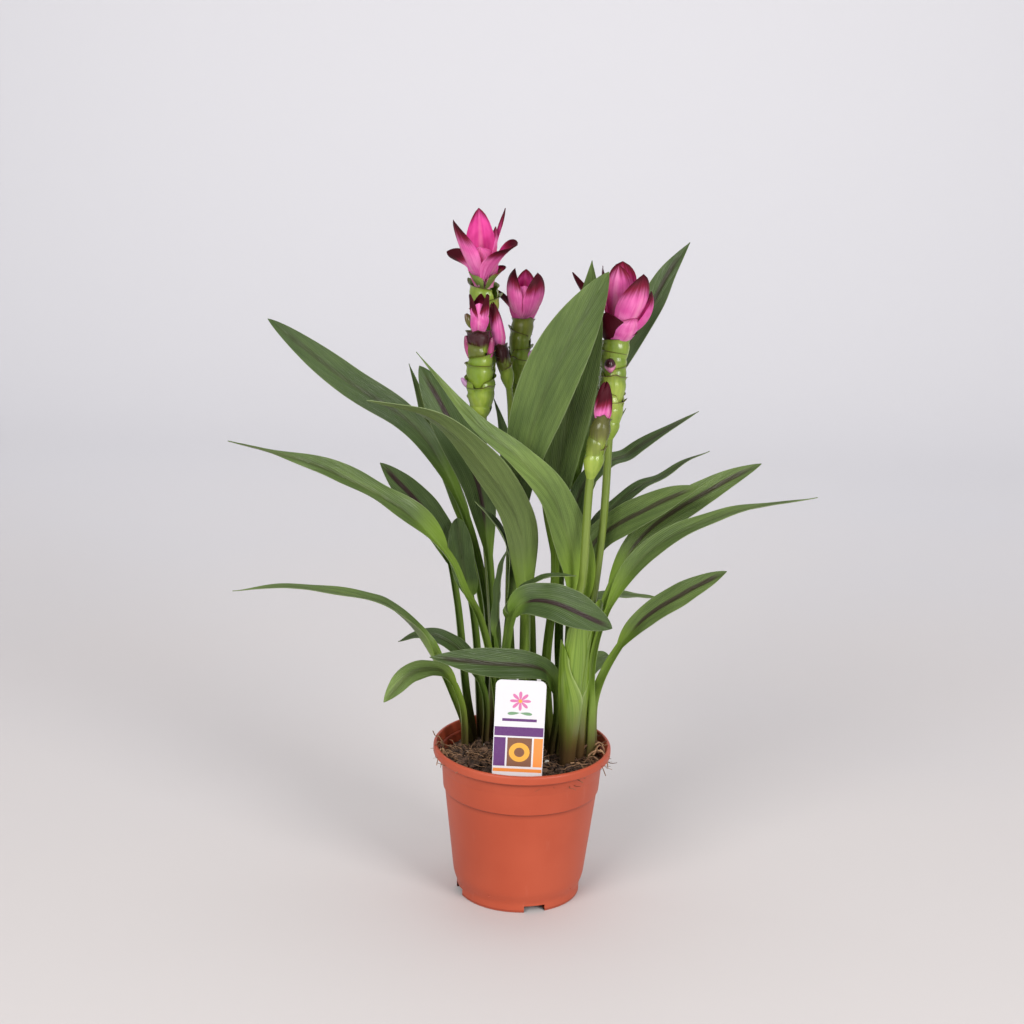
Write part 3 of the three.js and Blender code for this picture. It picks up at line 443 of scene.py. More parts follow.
camera_data = bpy.data.cameras.new("camera")
camera_data.sensor_width = SENSOR_WIDTH
camera_data.lens = SENSOR_WIDTH * FOCAL_PIXELS / FRAME_PIXELS
camera_data.shift_x = -SIDE_SHIFT_PIXELS / FRAME_PIXELS
camera_data.clip_start = NEAREST_SEEN
camera = bpy.data.objects.new("camera", camera_data)
stand = Vector((0, -DISTANCE * math.cos(LOOKS_DOWN_FROM),
                AIM_HEIGHT + DISTANCE * math.sin(LOOKS_DOWN_FROM)))
tilt = Matrix.Rotation(math.radians(90) - PITCH, 4, "X") @ Matrix.Rotation(ROLL, 4, "Z")
camera.matrix_world = Matrix.Translation(stand) @ tilt
bpy.context.scene.collection.objects.link(camera)
bpy.context.scene.camera = camera
print("camera at", [round(c, 3) for c in stand], "lens", round(camera_data.lens, 1), "mm")

# %% [markdown]
# ## The room
#
# A pale floor runs up into a pale wall in one bend, as a sheet of studio paper does, so there
# is no line behind the plant. Large soft lamps give the even light of a product photograph.
# Two of nearly the same strength stand in front, to the left and to the right, so the pot
# throws two soft shadows. A third hangs above, a fourth lights the wall, and a faint glow
# comes from all around.

# %% Studio floor
FLOOR_NEAR, FLOOR_FAR, WALL_TOP, BEND = -3.0, 1.5, 3.2, 0.9
HALF_WIDTH = 4.0
BEND_STEPS = 17


def studio_paper():
    turns = np.linspace(0, math.pi / 2, BEND_STEPS)
    line = [(FLOOR_NEAR, 0.0)]
    line += [(FLOOR_FAR + BEND * math.sin(a), BEND * (1 - math.cos(a))) for a in turns]
    line.append((FLOOR_FAR + BEND, WALL_TOP))
    points = [(side * HALF_WIDTH, y, z) for y, z in line for side in (-1, 1)]
    faces = [(2 * k, 2 * k + 1, 2 * k + 3, 2 * k + 2) for k in range(len(line) - 1)]
    mesh = bpy.data.meshes.new("studio_paper")
    mesh.from_pydata(points, [], faces)
    mesh.shade_smooth()
    paper = Recipe("studio paper")
    far = paper.plus(paper.axis("Y"), paper.noise(paper.place(), 2.5, 2))
    colour = paper.blend(paper.between(far, 0.4, 2.2), (0.585, 0.55, 0.54), (0.55, 0.54, 0.56))
    mesh.materials.append(paper.finish(base_color=colour, roughness=0.7))
    floor = bpy.data.objects.new("studio_paper", mesh)
    bpy.context.scene.collection.objects.link(floor)
    floor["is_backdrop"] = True
    return floor


tell("studio paper", [studio_paper()])

# %% Lamps
ROOM_GLOW = 0.45

world = bpy.data.worlds.new("room")
world.use_nodes = True
background = world.node_tree.nodes["Background"]
background.inputs["Color"].default_value = (0.93, 0.94, 1.0, 1)
background.inputs["Strength"].default_value = ROOM_GLOW
bpy.context.scene.world = world
bpy.context.scene.view_settings.view_transform = "Standard"


def lamp(name, place, size, power, colour=(1, 1, 1), aim_at=(0, 0, 0.3)):
    """Hangs up a soft rectangular lamp. Its power is in watts."""
    data = bpy.data.lights.new(name, "AREA")
    data.shape = "RECTANGLE"
    data.size, data.size_y = size
    data.energy = power
    data.color = colour
    light = bpy.data.objects.new(name, data)
    light.location = place
    aim = Vector(aim_at) - Vector(place)
    light.rotation_euler = aim.to_track_quat("-Z", "Y").to_euler()
    bpy.context.scene.collection.objects.link(light)
    print("lamp", name, "at", place, "with", power, "W")


lamp("key", (-1.3, -2.1, 1.7), (1.4, 1.4), 55, (1, 0.985, 0.96))
lamp("fill", (1.8, -2.0, 1.3), (1.1, 1.1), 54, (1, 0.99, 0.97))
lamp("top", (0.1, 0.5, 2.3), (1.8, 1.2), 14)
lamp("wall", (0, 1.3, 1.4), (3.6, 0.5), 15, aim_at=(0, 2.3, 0.4))

# %% [markdown]
# ## The leaves
#
# A leaf of this plant is a channelled stalk that opens into a long pointed blade. The blade is
# folded a little along its middle rib, and fine veins leave the rib at a low angle and run to
# the edge. Many blades have a dark purple streak along the rib.
#
# Each leaf is described by its middle line, its width, where the blade starts, how sharply it
# is folded, and which way its upper side looks: first the stalk, then the blade, then the tip.
# Those few numbers are the same ones the measured solids were made from, so the fine sheet
# lies in the same place. Only a wave along the edge is added to the two great leaves here.
#
# The stalks of the right-hand group wrap each other at the foot, so their sheaths are wider.

# %% Words for a leaf
# A leaf's tone, from DEEP to LIGHT, is partly its own green and partly painted shade: leaves that lie in
# shade get the darker green
DEEP, MID, LIGHT = 0.0, 0.5, 1.0
LEFT, RIGHT, FRONT = (0.5, -0.85, 0), (-0.5, -0.85, 0), (0, -1, 0)
RIGHT_GROUP_FROM = 25
WIDE_SHEATH, SLIM_SHEATH = 0.75, 0.25


def leaf(name, tone, **words):
    usual = dict(streak=0.2, fold=16, wave=0, waves=1.5, stem=9, rise=0.9, fall=1.1)
    usual["sheath"] = WIDE_SHEATH if words["foot"][0] > RIGHT_GROUP_FROM else SLIM_SHEATH
    return dict(name=name, tone=tone, **{**usual, **words})


# %% Leaf table
LEAVES = [
    leaf("left_high", DEEP, streak=0.35, width=27, blade_from=0.49, fold=12, rise=1.1, fall=0.8,
         stem=10,
         looks=[LEFT, (-0.1, -0.85, 0.5), (0, -0.8, 0.6)],
         foot=(-33, 53), route=[(-33, 55, 190), (-36, 52, 241), (-56, 51, 320), (-85, 62, 372),
             (-108, 70, 394), (-158, 86, 421), (-228, 104, 469)]),
    leaf("left_waved", MID, streak=0.3, width=23, blade_from=0.5, fold=20, wave=2.4, waves=2.2,
         rise=0.8, fall=1.5,
         looks=[LEFT, (0, -0.6, 0.8)],
         foot=(-22, 22), route=[(-25, 22, 170), (-40, 16, 237), (-52, 8, 263), (-64, 0, 292),
             (-101, -18, 337), (-153, -34, 370), (-174, -42, 381), (-238, -60, 402)]),
    leaf("left_ribbed", DEEP, streak=1, width=26, blade_from=0.61, fold=12, rise=0.8, fall=0.8,
         looks=[LEFT, (0, -0.8, 0.6)],
         foot=(-44, 36), route=[(-51, 38, 163), (-60, 36, 245), (-69, 28, 295), (-79, 22, 317),
             (-123, 2, 372)]),
    leaf("left_low", MID, streak=0.15, width=16, blade_from=0.3, fold=14, rise=0.8, fall=1.2,
         looks=[LEFT, (0, -0.2, 1)],
         foot=(-47, 26), route=[(-57, 24, 155), (-88, 10, 222), (-114, -2, 251), (-130, -6, 258),
             (-197, -28, 273), (-238, -42, 273)]),
    leaf("left_short", LIGHT, streak=0.35, width=18, blade_from=0.48, stem=7, fold=12, rise=1.1,
         fall=0.8,
         looks=[LEFT, (0, -0.7, 0.7)],
         foot=(-50, 15), route=[(-54, 14, 163), (-69, 6, 192), (-94, -8, 194), (-116, -24, 174)]),
    leaf("left_dark", DEEP, streak=0.3, width=18, blade_from=0.42, stem=7, fold=10,
         looks=[LEFT, (0, -0.45, 0.9)],
         foot=(-33, 26), route=[(-35, 24, 169), (-57, 23, 207), (-85, 30, 216), (-109, 38, 206)]),
    leaf("left_round", DEEP, streak=0.2, width=22, blade_from=0.68, rise=0.6, fall=0.5,
         looks=[LEFT, (0, -0.65, 0.75)],
         foot=(-38, 45), route=[(-41, 40, 180), (-44, 33, 220), (-48, 28, 250), (-54, 22, 277),
             (-57, 20, 298), (-60, 20, 322)]),
    leaf("high_sliver", MID, streak=0.2, width=15, blade_from=0.55, stem=12,
         looks=[LEFT, (0.5, -0.8, 0.3)],
         foot=(-24, 55), route=[(-36, 71, 212), (-50, 83, 271), (-64, 90, 318), (-72, 97, 338),
             (-82, 100, 360), (-107, 104, 434)]),
    leaf("high_ribbed", DEEP, streak=1, width=35, blade_from=0.5, rise=1.2, fall=0.75,
         looks=[LEFT, (0.1, -0.95, 0.3)],
         foot=(-21, 32), route=[(-27, 32, 198), (-34, 26, 293), (-45, 14, 359), (-65, 8, 403),
             (-93, 10, 452)]),
    leaf("front_arching", MID, streak=0.1, width=32, blade_from=0.36, stem=13, fold=10, rise=0.9,
         fall=0.8,
         looks=[(-0.2, 0.95, 0), (-0.1, 0.85, 0.5), (0, 0.35, 0.95)],
         foot=(2, 2), route=[(-2, -8, 279), (-10, -22, 336), (-46, -52, 397), (-77, -64, 426),
             (-128, -80, 443)]),
    leaf("front_light", LIGHT, streak=0.15, width=31, blade_from=0.37, stem=11, fold=12, rise=0.42,
         fall=1.3,
         looks=[FRONT, (0.1, -0.75, 0.65)],
         foot=(34, -2), route=[(42, -4, 271), (35, -8, 306), (17, -26, 358), (-11, -38, 391),
             (-43, -45, 418), (-92, -52, 476)]),
    leaf("front_level", DEEP, streak=0.75, width=27, blade_from=0.36, stem=7, fold=10, rise=1.1,
         fall=1.0,
         looks=[FRONT, (0, -0.75, 0.65)],
         foot=(24, 4), route=[(28, 0, 158), (26, -6, 183), (20, -14, 199), (9, -24, 209),
             (-32, -40, 217), (-77, -52, 225)]),
    leaf("front_folded", DEEP, streak=1, width=33, stem=11, blade_from=0.62, fold=10, rise=0.8,
         fall=0.75,
         looks=[(0.4, -0.9, 0), (0, -0.75, 0.65)],
         foot=(-14, -4), route=[(-18, -12, 209), (-14, -22, 245), (-7, -30, 262), (4, -38, 271),
             (22, -48, 273), (49, -60, 266), (69, -65, 259)]),
    leaf("inner_crescent", DEEP, streak=0.1, width=13, blade_from=0.6, stem=7, fold=8,
         looks=[FRONT, (0, -0.2, 1)],
         foot=(-8, 6), route=[(-12, -3, 216), (-10, -17, 269), (17, -30, 290), (39, -38, 294)]),
    leaf("inner_thin", DEEP, streak=0.1, width=14, blade_from=0.6, stem=7,
         looks=[FRONT, (0.3, -0.4, 0.9)],
         foot=(-12, 26), route=[(-17, 22, 202), (-15, 2, 297), (-24, -6, 321), (-44, -22, 349)]),
    leaf("inner_dark", DEEP, streak=0.1, width=15, blade_from=0.6, stem=7,
         looks=[FRONT, (-0.9, -0.4, 0.2)],
         foot=(-19, 12), route=[(-22, 10, 211), (-24, 8, 238), (-22, 10, 284), (-18, 14, 299)]),
    leaf("centre_great", MID, streak=0.12, wave=2.6, waves=1.3, width=47, blade_from=0.45, stem=10,
         fold=14, rise=1.2, fall=0.8,
         looks=[FRONT, (-0.3, -0.95, 0.15)],
         foot=(9, 20), route=[(6, 20, 204), (3, 16, 254), (-4, 10, 299), (-8, -4, 367), (12, -12, 445),
             (56, -12, 537)]),
    leaf("centre_second", MID, streak=0.12, wave=2.6, waves=1.3, width=38, blade_from=0.43, stem=11,
         rise=1.2, fall=1.0,
         looks=[FRONT, (-0.1, -0.95, 0.2)],
         foot=(24, 18), route=[(18, 22, 194), (23, 22, 270), (21, 18, 349), (42, 7, 499),
             (43, 4, 543)]),
    leaf("centre_short", DEEP, streak=0.1, width=14, blade_from=0.66, stem=7,
         looks=[FRONT, (0.6, -0.7, 0.2)],
         foot=(-5, 38), route=[(-12, 38, 210), (-24, 32, 391), (-32, 32, 422)]),
    leaf("right_high", DEEP, streak=0.75, width=26, blade_from=0.54, fold=12, rise=1.5, fall=1.0,
         looks=[RIGHT, (-0.5, -0.85, 0.1)],
         foot=(30, 31), route=[(30, 36, 203), (31, 50, 288), (58, 74, 421), (100, 94, 500),
             (110, 98, 520), (127, 102, 546)]),
    leaf("right_sliver", MID, streak=0.1, width=11, blade_from=0.7, stem=6,
         looks=[RIGHT, (-0.6, -0.7, 0.3)],
         foot=(35, 43), route=[(38, 48, 209), (43, 57, 304), (63, 69, 379), (78, 74, 408)]),
    leaf("right_dark", DEEP, streak=0.45, width=17, blade_from=0.48, fold=8, stem=8,
         looks=[RIGHT, (0, -0.45, 0.9)],
         foot=(37, 17), route=[(38, 24, 208), (38, 40, 328), (47, 46, 351), (66, 53, 367),
             (79, 57, 371), (91, 61, 379), (140, 77, 407)]),
    leaf("right_thin", DEEP, streak=0.3, width=13, blade_from=0.54, stem=7, fold=8,
         looks=[RIGHT, (0, -0.6, 0.8), (0, -0.1, 1)],
         foot=(50, 25), route=[(51, 34, 205), (51, 42, 283), (57, 46, 312), (68, 48, 326),
             (93, 58, 345), (109, 64, 351), (130, 71, 364), (151, 76, 373)]),
    leaf("right_waved", MID, streak=0.8, width=27, blade_from=0.5, fold=10, rise=1.0, fall=0.8,
         looks=[RIGHT, (0.1, -0.75, 0.65)],
         foot=(43, 7), route=[(48, 18, 255), (52, 23, 298), (62, 22, 312), (114, 2, 350),
             (137, -6, 363)]),
    leaf("right_ribbed", MID, streak=0.85, width=24, blade_from=0.5, fold=12, wave=1.8, rise=0.9,
         fall=0.8,
         looks=[RIGHT, (0.1, -0.75, 0.65)],
         foot=(51, 16), route=[(67, 20, 257), (95, 26, 310), (152, 22, 355), (189, 17, 378)]),
    leaf("right_long", MID, streak=0.2, width=20, stem=7, blade_from=0.42, fold=12, rise=1.1,
         fall=1.6,
         looks=[RIGHT, (0, -0.7, 0.7), (0, -0.15, 1)],
         foot=(55, -7), route=[(62, -10, 238), (95, -20, 307), (154, -38, 348), (226, -60, 372)]),
    leaf("right_low", MID, streak=0.9, width=21, blade_from=0.51, stem=8, fold=12, rise=0.9,
         fall=0.8,
         looks=[RIGHT, (0, -0.75, 0.65)],
         foot=(57, 6), route=[(57, 4, 167), (79, -3, 222), (98, -10, 250), (128, -21, 276),
             (161, -30, 299)]),
    leaf("back_level", MID, streak=0.1, width=14, blade_from=0.5, stem=7, fold=8,
         looks=[RIGHT, (0, -0.25, 1)],
         foot=(50, 33), route=[(56, 46, 192), (58, 62, 239), (68, 72, 242), (118, 106, 231)]),
    leaf("back_short", MID, streak=0.1, width=18, blade_from=0.5, stem=7, fall=0.5,
         looks=[RIGHT, (0, -0.6, 0.8)],
         foot=(42, 42), route=[(55, 58, 178), (65, 70, 184), (74, 84, 183)]),
]

# %% Width and facing of a leaf
TIP_WIDTH = 0.5
STALK_FADES_BY = 0.4
TWIST_FROM, TWIST_PAST = 0.55, 0.14


def blade_width(v, item):
    """The blade swells from the stalk to its widest place, and tapers from there to the tip."""
    peak = item["rise"] / (item["rise"] + item["fall"])
    swell = (v / peak) ** item["rise"] * ((1 - v) / (1 - peak)) ** item["fall"]
    return mix(item["stem"], 0, smooth(v / STALK_FADES_BY)) + item["width"] * swell


def leaf_look(t, item):
    """Which way the upper side faces, along the leaf."""
    looks = [unit(np.array(look, float)) for look in item["looks"]]
    start = item["blade_from"]
    begin = start * TWIST_FROM
    turn = smooth((t - begin) / (start + TWIST_PAST - begin))[:, None]
    look = mix(looks[0], looks[1], turn)
    return mix(look, looks[-1], smooth((t - start) / (1 - start))[:, None])


# %% Relief and thickness of a leaf
STALK_THICK, STALK_EDGE = 3.2, 1.0
BLADE_THICK, BLADE_EDGE = 1.5, 0.5
RIB_WIDTH, GROOVE_WIDTH, GROOVE_DEPTH = 1.5, 1.3, 0.45
QUIVER_DEPTH, QUIVERS = 0.5, 23
PLEAT_DEPTH, PLEATS_PER_MM, PLEAT_SLANT = 0.13, 1.7, 30
OTHER_EDGE = 1.9


def leaf_relief(u, v, reach, opened, item, seed):
    """Long waves of the edge, a slight quiver, and fine pleats: three heights over the fold."""
    swing = np.sin(math.pi * v) ** 0.6 * u**2
    ripple = np.sin(2 * math.pi * item["waves"] * v + np.where(u > 0, 0, OTHER_EDGE)) * item["wave"] * swing
    quiver = QUIVER_DEPTH * np.sin(QUIVERS * v + seed + 2.1 * np.sign(u)) * swing
    pleat = PLEAT_DEPTH * np.cos(reach * PLEATS_PER_MM - v * PLEAT_SLANT) * opened * (1 - np.abs(u) ** 4)
    return ripple, quiver, pleat


def leaf_thickness(u, v, reach, opened):
    """Thick at the rib and thin at the edge. The rib is slimmer towards the tip."""
    rib = np.exp(-((reach / RIB_WIDTH) ** 2))
    slim = mix(1, 0.5, smooth((v - 0.6) / 0.4))
    blade = BLADE_EDGE + (BLADE_THICK - BLADE_EDGE) * rib * slim
    stalk = mix(STALK_THICK, STALK_EDGE, np.abs(u) ** 1.3)
    return mix(stalk, blade, opened)


# %% Leaf sheet
STALK_ROWS, BLADE_ROWS, LEAF_COLUMNS = 34, 84, 17
STALK_FOLD = 50
BLADE_OPEN_BY = 0.35
SHEATH_TOP, SHEATH_FADE = 25, 150
WRAP_TOP, WRAP_FADE = 45, 70


def leaf_heap(item):
    line = MiddleLine(item["foot"], item["route"])
    start = item["blade_from"]
    stalk_rows = np.linspace(0, start, STALK_ROWS, endpoint=False)
    t = np.concatenate([stalk_rows, np.linspace(start, 1, BLADE_ROWS)])
    centre, along = line.at(t), line.heading(t)
    look = leaf_look(t, item)
    normal = unit(look - along * np.sum(look * along, axis=1, keepdims=True))
    side = np.cross(along, normal)

    # From here each value is a grid: rows run up the leaf, and columns run across it
    u = np.linspace(-1, 1, LEAF_COLUMNS)[None, :]
    v = np.maximum(0, (t - start) / (1 - start))[:, None]
    climbed = (t * line.length)[:, None]
    opened = smooth(v / BLADE_OPEN_BY)
    sheath = 1 + item["sheath"] * (1 - smooth((climbed - SHEATH_TOP) / SHEATH_FADE))
    width = np.where(v > 0, blade_width(v, item), item["stem"] * sheath)
    half = np.maximum(TIP_WIDTH, width) / 2
    reach = np.abs(u) * half
    fold = np.radians(mix(STALK_FOLD, item["fold"], opened))

    # At the foot of a wide sheath the edges bend the other way, round the stalks behind it
    wrapped = -1 if item["sheath"] == WIDE_SHEATH else 1
    turned = mix(wrapped, 1, smooth((climbed - WRAP_TOP) / WRAP_FADE))
    cradle = turned * half * np.sin(fold) * np.abs(u) ** mix(1.7, 1.2, opened)
    seed = sum(map(ord, item["name"]))
    ripple, quiver, pleat = leaf_relief(u, v, reach, opened, item, seed)
    lift = cradle + ripple + quiver + pleat
    groove = -GROOVE_DEPTH * np.exp(-((reach / GROOVE_WIDTH) ** 2)) * opened
    thick = leaf_thickness(u, v, reach, opened)

    middle = centre[:, None, :] + side[:, None, :] * (np.sign(u) * reach * np.cos(fold))[..., None]
    upper = middle + normal[:, None, :] * (lift + groove)[..., None]
    lower = middle + normal[:, None, :] * (lift - thick)[..., None]
    heap = Heap()
    heap.add_sheet(upper, lower, across=u, reach=np.sign(u) * reach, along=climbed, blade=opened, share=v,
                   streak=item["streak"], tone=item["tone"], seed=(seed % 17) * 0.37)
    return heap


# %% [markdown]
# ### The finish of a leaf
#
# Leaf green isn't one green. The blade is darker and bluer on top and paler below, the stalk is
# yellow-green and turns purple-brown at the soil, and veins show as fine lines a little
# lighter than the flesh between them. All of it is driven by the numbers on the mesh.

# %% Leaf finish
def leaf_finish():
    f = Recipe("leaf")
    reach, along, share = f.number("reach"), f.number("along"), f.number("share")
    blade, tone, under = f.number("blade"), f.number("tone"), f.number("under")
    across = f.size_of(f.number("across"))
    seed = f.number("seed")
    away = f.size_of(reach)

    # Veins leave the rib at a low angle, so a vein keeps the same distance from the rib less a
    # small part of the length
    slant = f.minus(away, f.times(along, 0.07))
    wander = f.noise(f.join(f.times(reach, 0.25), f.times(along, 0.03), seed), 1.0, 2)
    fine = f.maths("SINE", f.plus(f.times(slant, 4.2), f.times(wander, 5)))
    broad = f.maths("SINE", f.plus(f.times(slant, 1.15), f.times(wander, 4)))
    fibres = f.noise(f.join(f.times(reach, 1.6), f.times(along, 0.05), seed), 1.0, 3)

    # Each leaf's tone picks a darker or a lighter green, here and for the stalk: partly the leaf's own colour
    # and partly painted shade
    top = f.blend(tone, (0.050, 0.083, 0.024), (0.128, 0.192, 0.048))
    patches = f.noise(f.join(f.times(reach, 0.08), f.times(along, 0.022), seed), 1.0, 3)
    top = f.blend(f.between(patches, 0.35, 0.7), top, f.blend(1.0, top, (1.4, 1.35, 1.3), "MULTIPLY"))
    flesh = f.blend(f.between(under, 0.4, 0.6), top, f.blend(0.55, top, (0.14, 0.19, 0.055)))
    lines = f.times(f.between(fine, 0.1, 1.0), 0.12)
    flesh = f.blend(lines, flesh, (0.17, 0.23, 0.065))
    flesh = f.blend(f.times(f.between(broad, 0.0, 1.0), 0.18), flesh, (0.026, 0.045, 0.012))
    pale_edge = f.times(f.between(across, 0.95, 1.0), 0.45)
    flesh = f.blend(pale_edge, flesh, (0.30, 0.36, 0.17))

    # The purple streak hugs the rib and fades at both ends of the blade
    narrow = f.maths("DIVIDE", away, f.between(share, 0.0, 0.5, 1.1, 2.2))
    ragged = f.plus(narrow, f.times(f.minus(fibres, 0.5), 0.9))
    streak = f.between(ragged, 0.55, 1.25, 1.0, 0.0)
    ends = f.times(f.between(share, 0.04, 0.25), f.between(share, 0.86, 0.99, 1.0, 0.0))
    streak = f.times(f.times(streak, ends), f.number("streak"))
    flesh = f.blend(f.times(streak, 0.95), flesh, (0.030, 0.011, 0.013))

    # The stalk: yellow-green, pale in its channel, purple-brown where it leaves the soil
    fibre_lines = f.between(fibres, 0.3, 0.7)
    stalk = f.blend(tone, (0.110, 0.190, 0.023), (0.245, 0.37, 0.044))
    stalk = f.blend(f.times(fibre_lines, 0.30), stalk, (0.28, 0.37, 0.10))
    low = f.plus(f.axis("Z"), f.times(fibres, -0.03))
    stalk = f.blend(f.between(low, 0.108, 0.160, 0.85, 0.0), stalk, (0.080, 0.030, 0.020))
    colour = f.blend(f.between(blade, 0.02, 0.75), stalk, flesh)

    relief = f.plus(f.times(fine, 0.5), f.times(broad, 0.6))
    relief = f.plus(f.times(relief, blade), f.times(fibres, 1.2))
    normal = f.bump(relief, 0.00016)
    rough = f.blend(f.between(fibres, 0.3, 0.7), (0.32,) * 3, (0.46,) * 3)
    f.let_light_through(f.blend(0.5, colour, (0.30, 0.48, 0.06)), 0.16, normal)
    return f.finish(base_color=colour, roughness=rough, normal=normal, specular_ior_level=0.32)


LEAF_FINISH = leaf_finish()
leaf_pieces = []
for item in LEAVES:
    name = item["name"]
    sheet = leaf_heap(item)
    leaf_pieces.append(make_piece(f"leaf_{name}_blade", sheet, [LEAF_FINISH], [f"leaf_{name}"]))
tell("leaves", leaf_pieces)

# %% [markdown]
# ## Flower stalks and green spikes
#
# Under each pink head is a spike of green bracts. They are spoon-shaped pouches that overlap in
# a spiral, each turned a little more than a third of the way round from the one below, and
# their rims stand off the spike so that rain collects in them. A spike could be turned as one
# ringed body, but its rims would then be too even. Here every pouch is a thin curved sheet that
# wraps most of the way round the stalk.
#
# The table gives each flower its line, the radius of the spike at each storey of cups, and the
# bracts of its pink head. A bract has a turn round the head, a length and width, the lean of
# its root and its tip in degrees, how round it is cupped, and the share of it that is dark.

# %% Bract tables
TALL_BRACTS = [
    dict(turn=95, rise=9, length=60, width=29, leans=(6, -6), cup=15, point=1.5, dark=0.05),
    dict(turn=15, rise=7, length=48, width=30, leans=(28, -6), cup=15, dark=0.05),
    dict(turn=30, rise=8, length=62, width=7, leans=(22, 20), cup=6, dark=0.2),
    dict(turn=-148, rise=5, length=63, width=29, leans=(30, 8), cup=14, dark=0.24),
    dict(turn=172, rise=8, length=38, width=24, leans=(36, 60), cup=13, roll=-62, point=2.6, dark=0.42),
    dict(turn=-38, rise=5, length=52, width=31, leans=(30, 64), cup=14, roll=-18, point=3.6, dark=0.30),
    dict(turn=-92, rise=3, length=38, width=32, leans=(20, 4), cup=15, point=2.6, dark=0),
    dict(turn=-12, rise=0.6, length=27, width=22, leans=(34, 50), roll=-20, green=1, dark=0.2),
    dict(turn=-168, rise=0.6, length=20, width=24, leans=(34, 22), green=1, dark=0),
]
FRONT_BRACTS = [
    dict(turn=80, rise=1, length=35, width=17, leans=(16, -10), cup=7.7, dark=0.3),
    dict(turn=-160, rise=1, length=36, width=16, leans=(20, -4), cup=7.7, point=2.2, dark=0.4),
    dict(turn=-25, rise=1, length=37, width=17, leans=(24, -16), cup=7.7, point=2.2, dark=0.38),
    dict(turn=-90, rise=1, length=30, width=20, leans=(26, -16), cup=7.9, point=2.4, dark=0),
]
MIDDLE_BRACTS = [
    dict(turn=95, rise=5, length=42, width=24, leans=(14, -8), cup=12, dark=0.1),
    dict(turn=-36, rise=4, length=48, width=31, leans=(50, -40), cup=13, point=2.4, dark=0.32),
    dict(turn=-148, rise=3, length=50, width=26, leans=(44, -34), cup=12, dark=0.28),
    dict(turn=178, rise=3, length=33, width=15, leans=(40, 44), cup=11, roll=-40, dark=0.45),
    dict(turn=-92, rise=0.6, length=36, width=34, leans=(34, -20), cup=13, point=2.4, dark=0),
]
RIGHT_BRACTS = [
    dict(turn=100, rise=10, length=60, width=32, leans=(8, -8), cup=15, point=3.4, dark=0.12),
    dict(turn=-118, rise=8, length=60, width=34, leans=(16, -10), cup=15, point=2.6, dark=0.08),
    dict(turn=8, rise=7, length=54, width=34, leans=(70, -28), cup=15, point=2.8, dark=0.12),
    dict(turn=-46, rise=9, length=62, width=40, leans=(50, -18), cup=17, point=2.2, dark=0.22),
    dict(turn=165, rise=7, length=60, width=24, leans=(26, -2), cup=13, dark=0.3),
    dict(turn=-170, rise=5, length=66, width=18, leans=(38, 34), cup=11, roll=-30, dark=0.4),
    dict(turn=-46, rise=0.6, length=34, width=38, leans=(64, -14), cup=16, point=3.4, dark=0.03),
    dict(turn=-122, rise=0.9, length=36, width=34, leans=(62, -14), cup=15, point=3.2, dark=0.95),
    dict(turn=-22, rise=0.6, length=21, width=15, leans=(46, 54), roll=-20, green=1, dark=0.4),
]

# %% Flower table
FLOWERS = [
    dict(name="tall", foot=(-17, 50), stalk=3.2, spike=92, cups=[9, 11.5, 12, 12, 12, 12.5],
         route=[(-26, 58, 198), (-32, 61, 265), (-39, 60, 327), (-42, 53, 416), (-43, 48, 509)],
         head_top=(-49, 44, 576), core=16, bracts=TALL_BRACTS, twist=150,
         florets=[dict(up=60, turn=186, girth=3.4, length=12, out=3, tint=1)]),
    dict(name="front", foot=(-27, 41), stalk=3.0, spike=70, cups=[10, 12.5, 11.5, 11, 10],
         route=[(-28, 45, 203), (-39, 38, 333), (-41, 31, 378), (-42, 24, 407), (-46, 20, 476)],
         head_top=(-46, 19, 506), core=12, bracts=FRONT_BRACTS, purple=1, twist=-90,
         florets=[dict(up=52, turn=190, girth=3, length=19, out=0.4, tint=2),
                  dict(up=50, turn=-14, girth=3, length=19, out=1, tint=2),
                  dict(up=27, turn=190, girth=2.4, length=9, out=4, tint=3)]),
    dict(name="slim", foot=(-9, 57), stalk=2.6, spike=36, cups=[6.2, 6.4],
         route=[(-15, 56, 204), (-17, 50, 348), (-20, 38, 427), (-28, 32, 463)],
         head_top=(-36, 30, 504), bud=dict(length=42, radius=5.5, full_at=0.3, dark=0.3), purple=1,
         twist=-90),
    dict(name="middle", foot=(2, 48), stalk=3.0, spike=62, cups=[8, 9.5, 9.5, 10],
         route=[(1, 50, 188), (-1, 55, 241), (-13, 60, 346), (-16, 62, 419), (-11, 64, 479)],
         head_top=(-9, 66, 522), core=12, bracts=MIDDLE_BRACTS, purple=0.5, twist=-60,
         florets=[dict(up=34, turn=-20, girth=2.4, length=9, out=4, tint=3)]),
    dict(name="right", foot=(48, -5), stalk=3.2, spike=78, cups=[9, 11, 11.5, 11.5, 12],
         sheaths=[(150, 8.5, -50), (112, 8, 60)],
         route=[(48, -3, 209), (54, 0, 252), (61, 9, 328), (63, 19, 395), (65, 26, 471)],
         head_top=(69, 30, 539), core=16, bracts=RIGHT_BRACTS, twist=-30,
         florets=[dict(up=57, turn=-106, girth=4.6, length=11, out=2.4, tint=4)]),
    dict(name="bud", foot=(38, -14), stalk=3.3, spike=46, cups=[9, 8.4],
         sheaths=[(142, 10.5, -75), (118, 11.5, -165), (130, 10, 10)],
         route=[(42, -18, 266), (45, -18, 284), (48, -20, 371), (55, -20, 415)],
         head_top=(58, -20, 452), bud=dict(length=38, radius=7, full_at=0.35, dark=0.5), purple=0.7,
         narrow=0.2, twist=-90),
]

# %% Round stalk
STALK_SIDES = 24
STALK_RIDGES, RIDGE_HEIGHT = 6, 0.035


def stalk_rings(line, radii, shares):
    """Rings of points up a round stalk with a few faint ridges."""
    turn = full_turn(STALK_SIDES)[None, :]
    ridged = np.asarray(radii)[:, None] * (1 + RIDGE_HEIGHT * np.cos(STALK_RIDGES * turn))
    return around(line, np.asarray(shares)[:, None], ridged, turn)


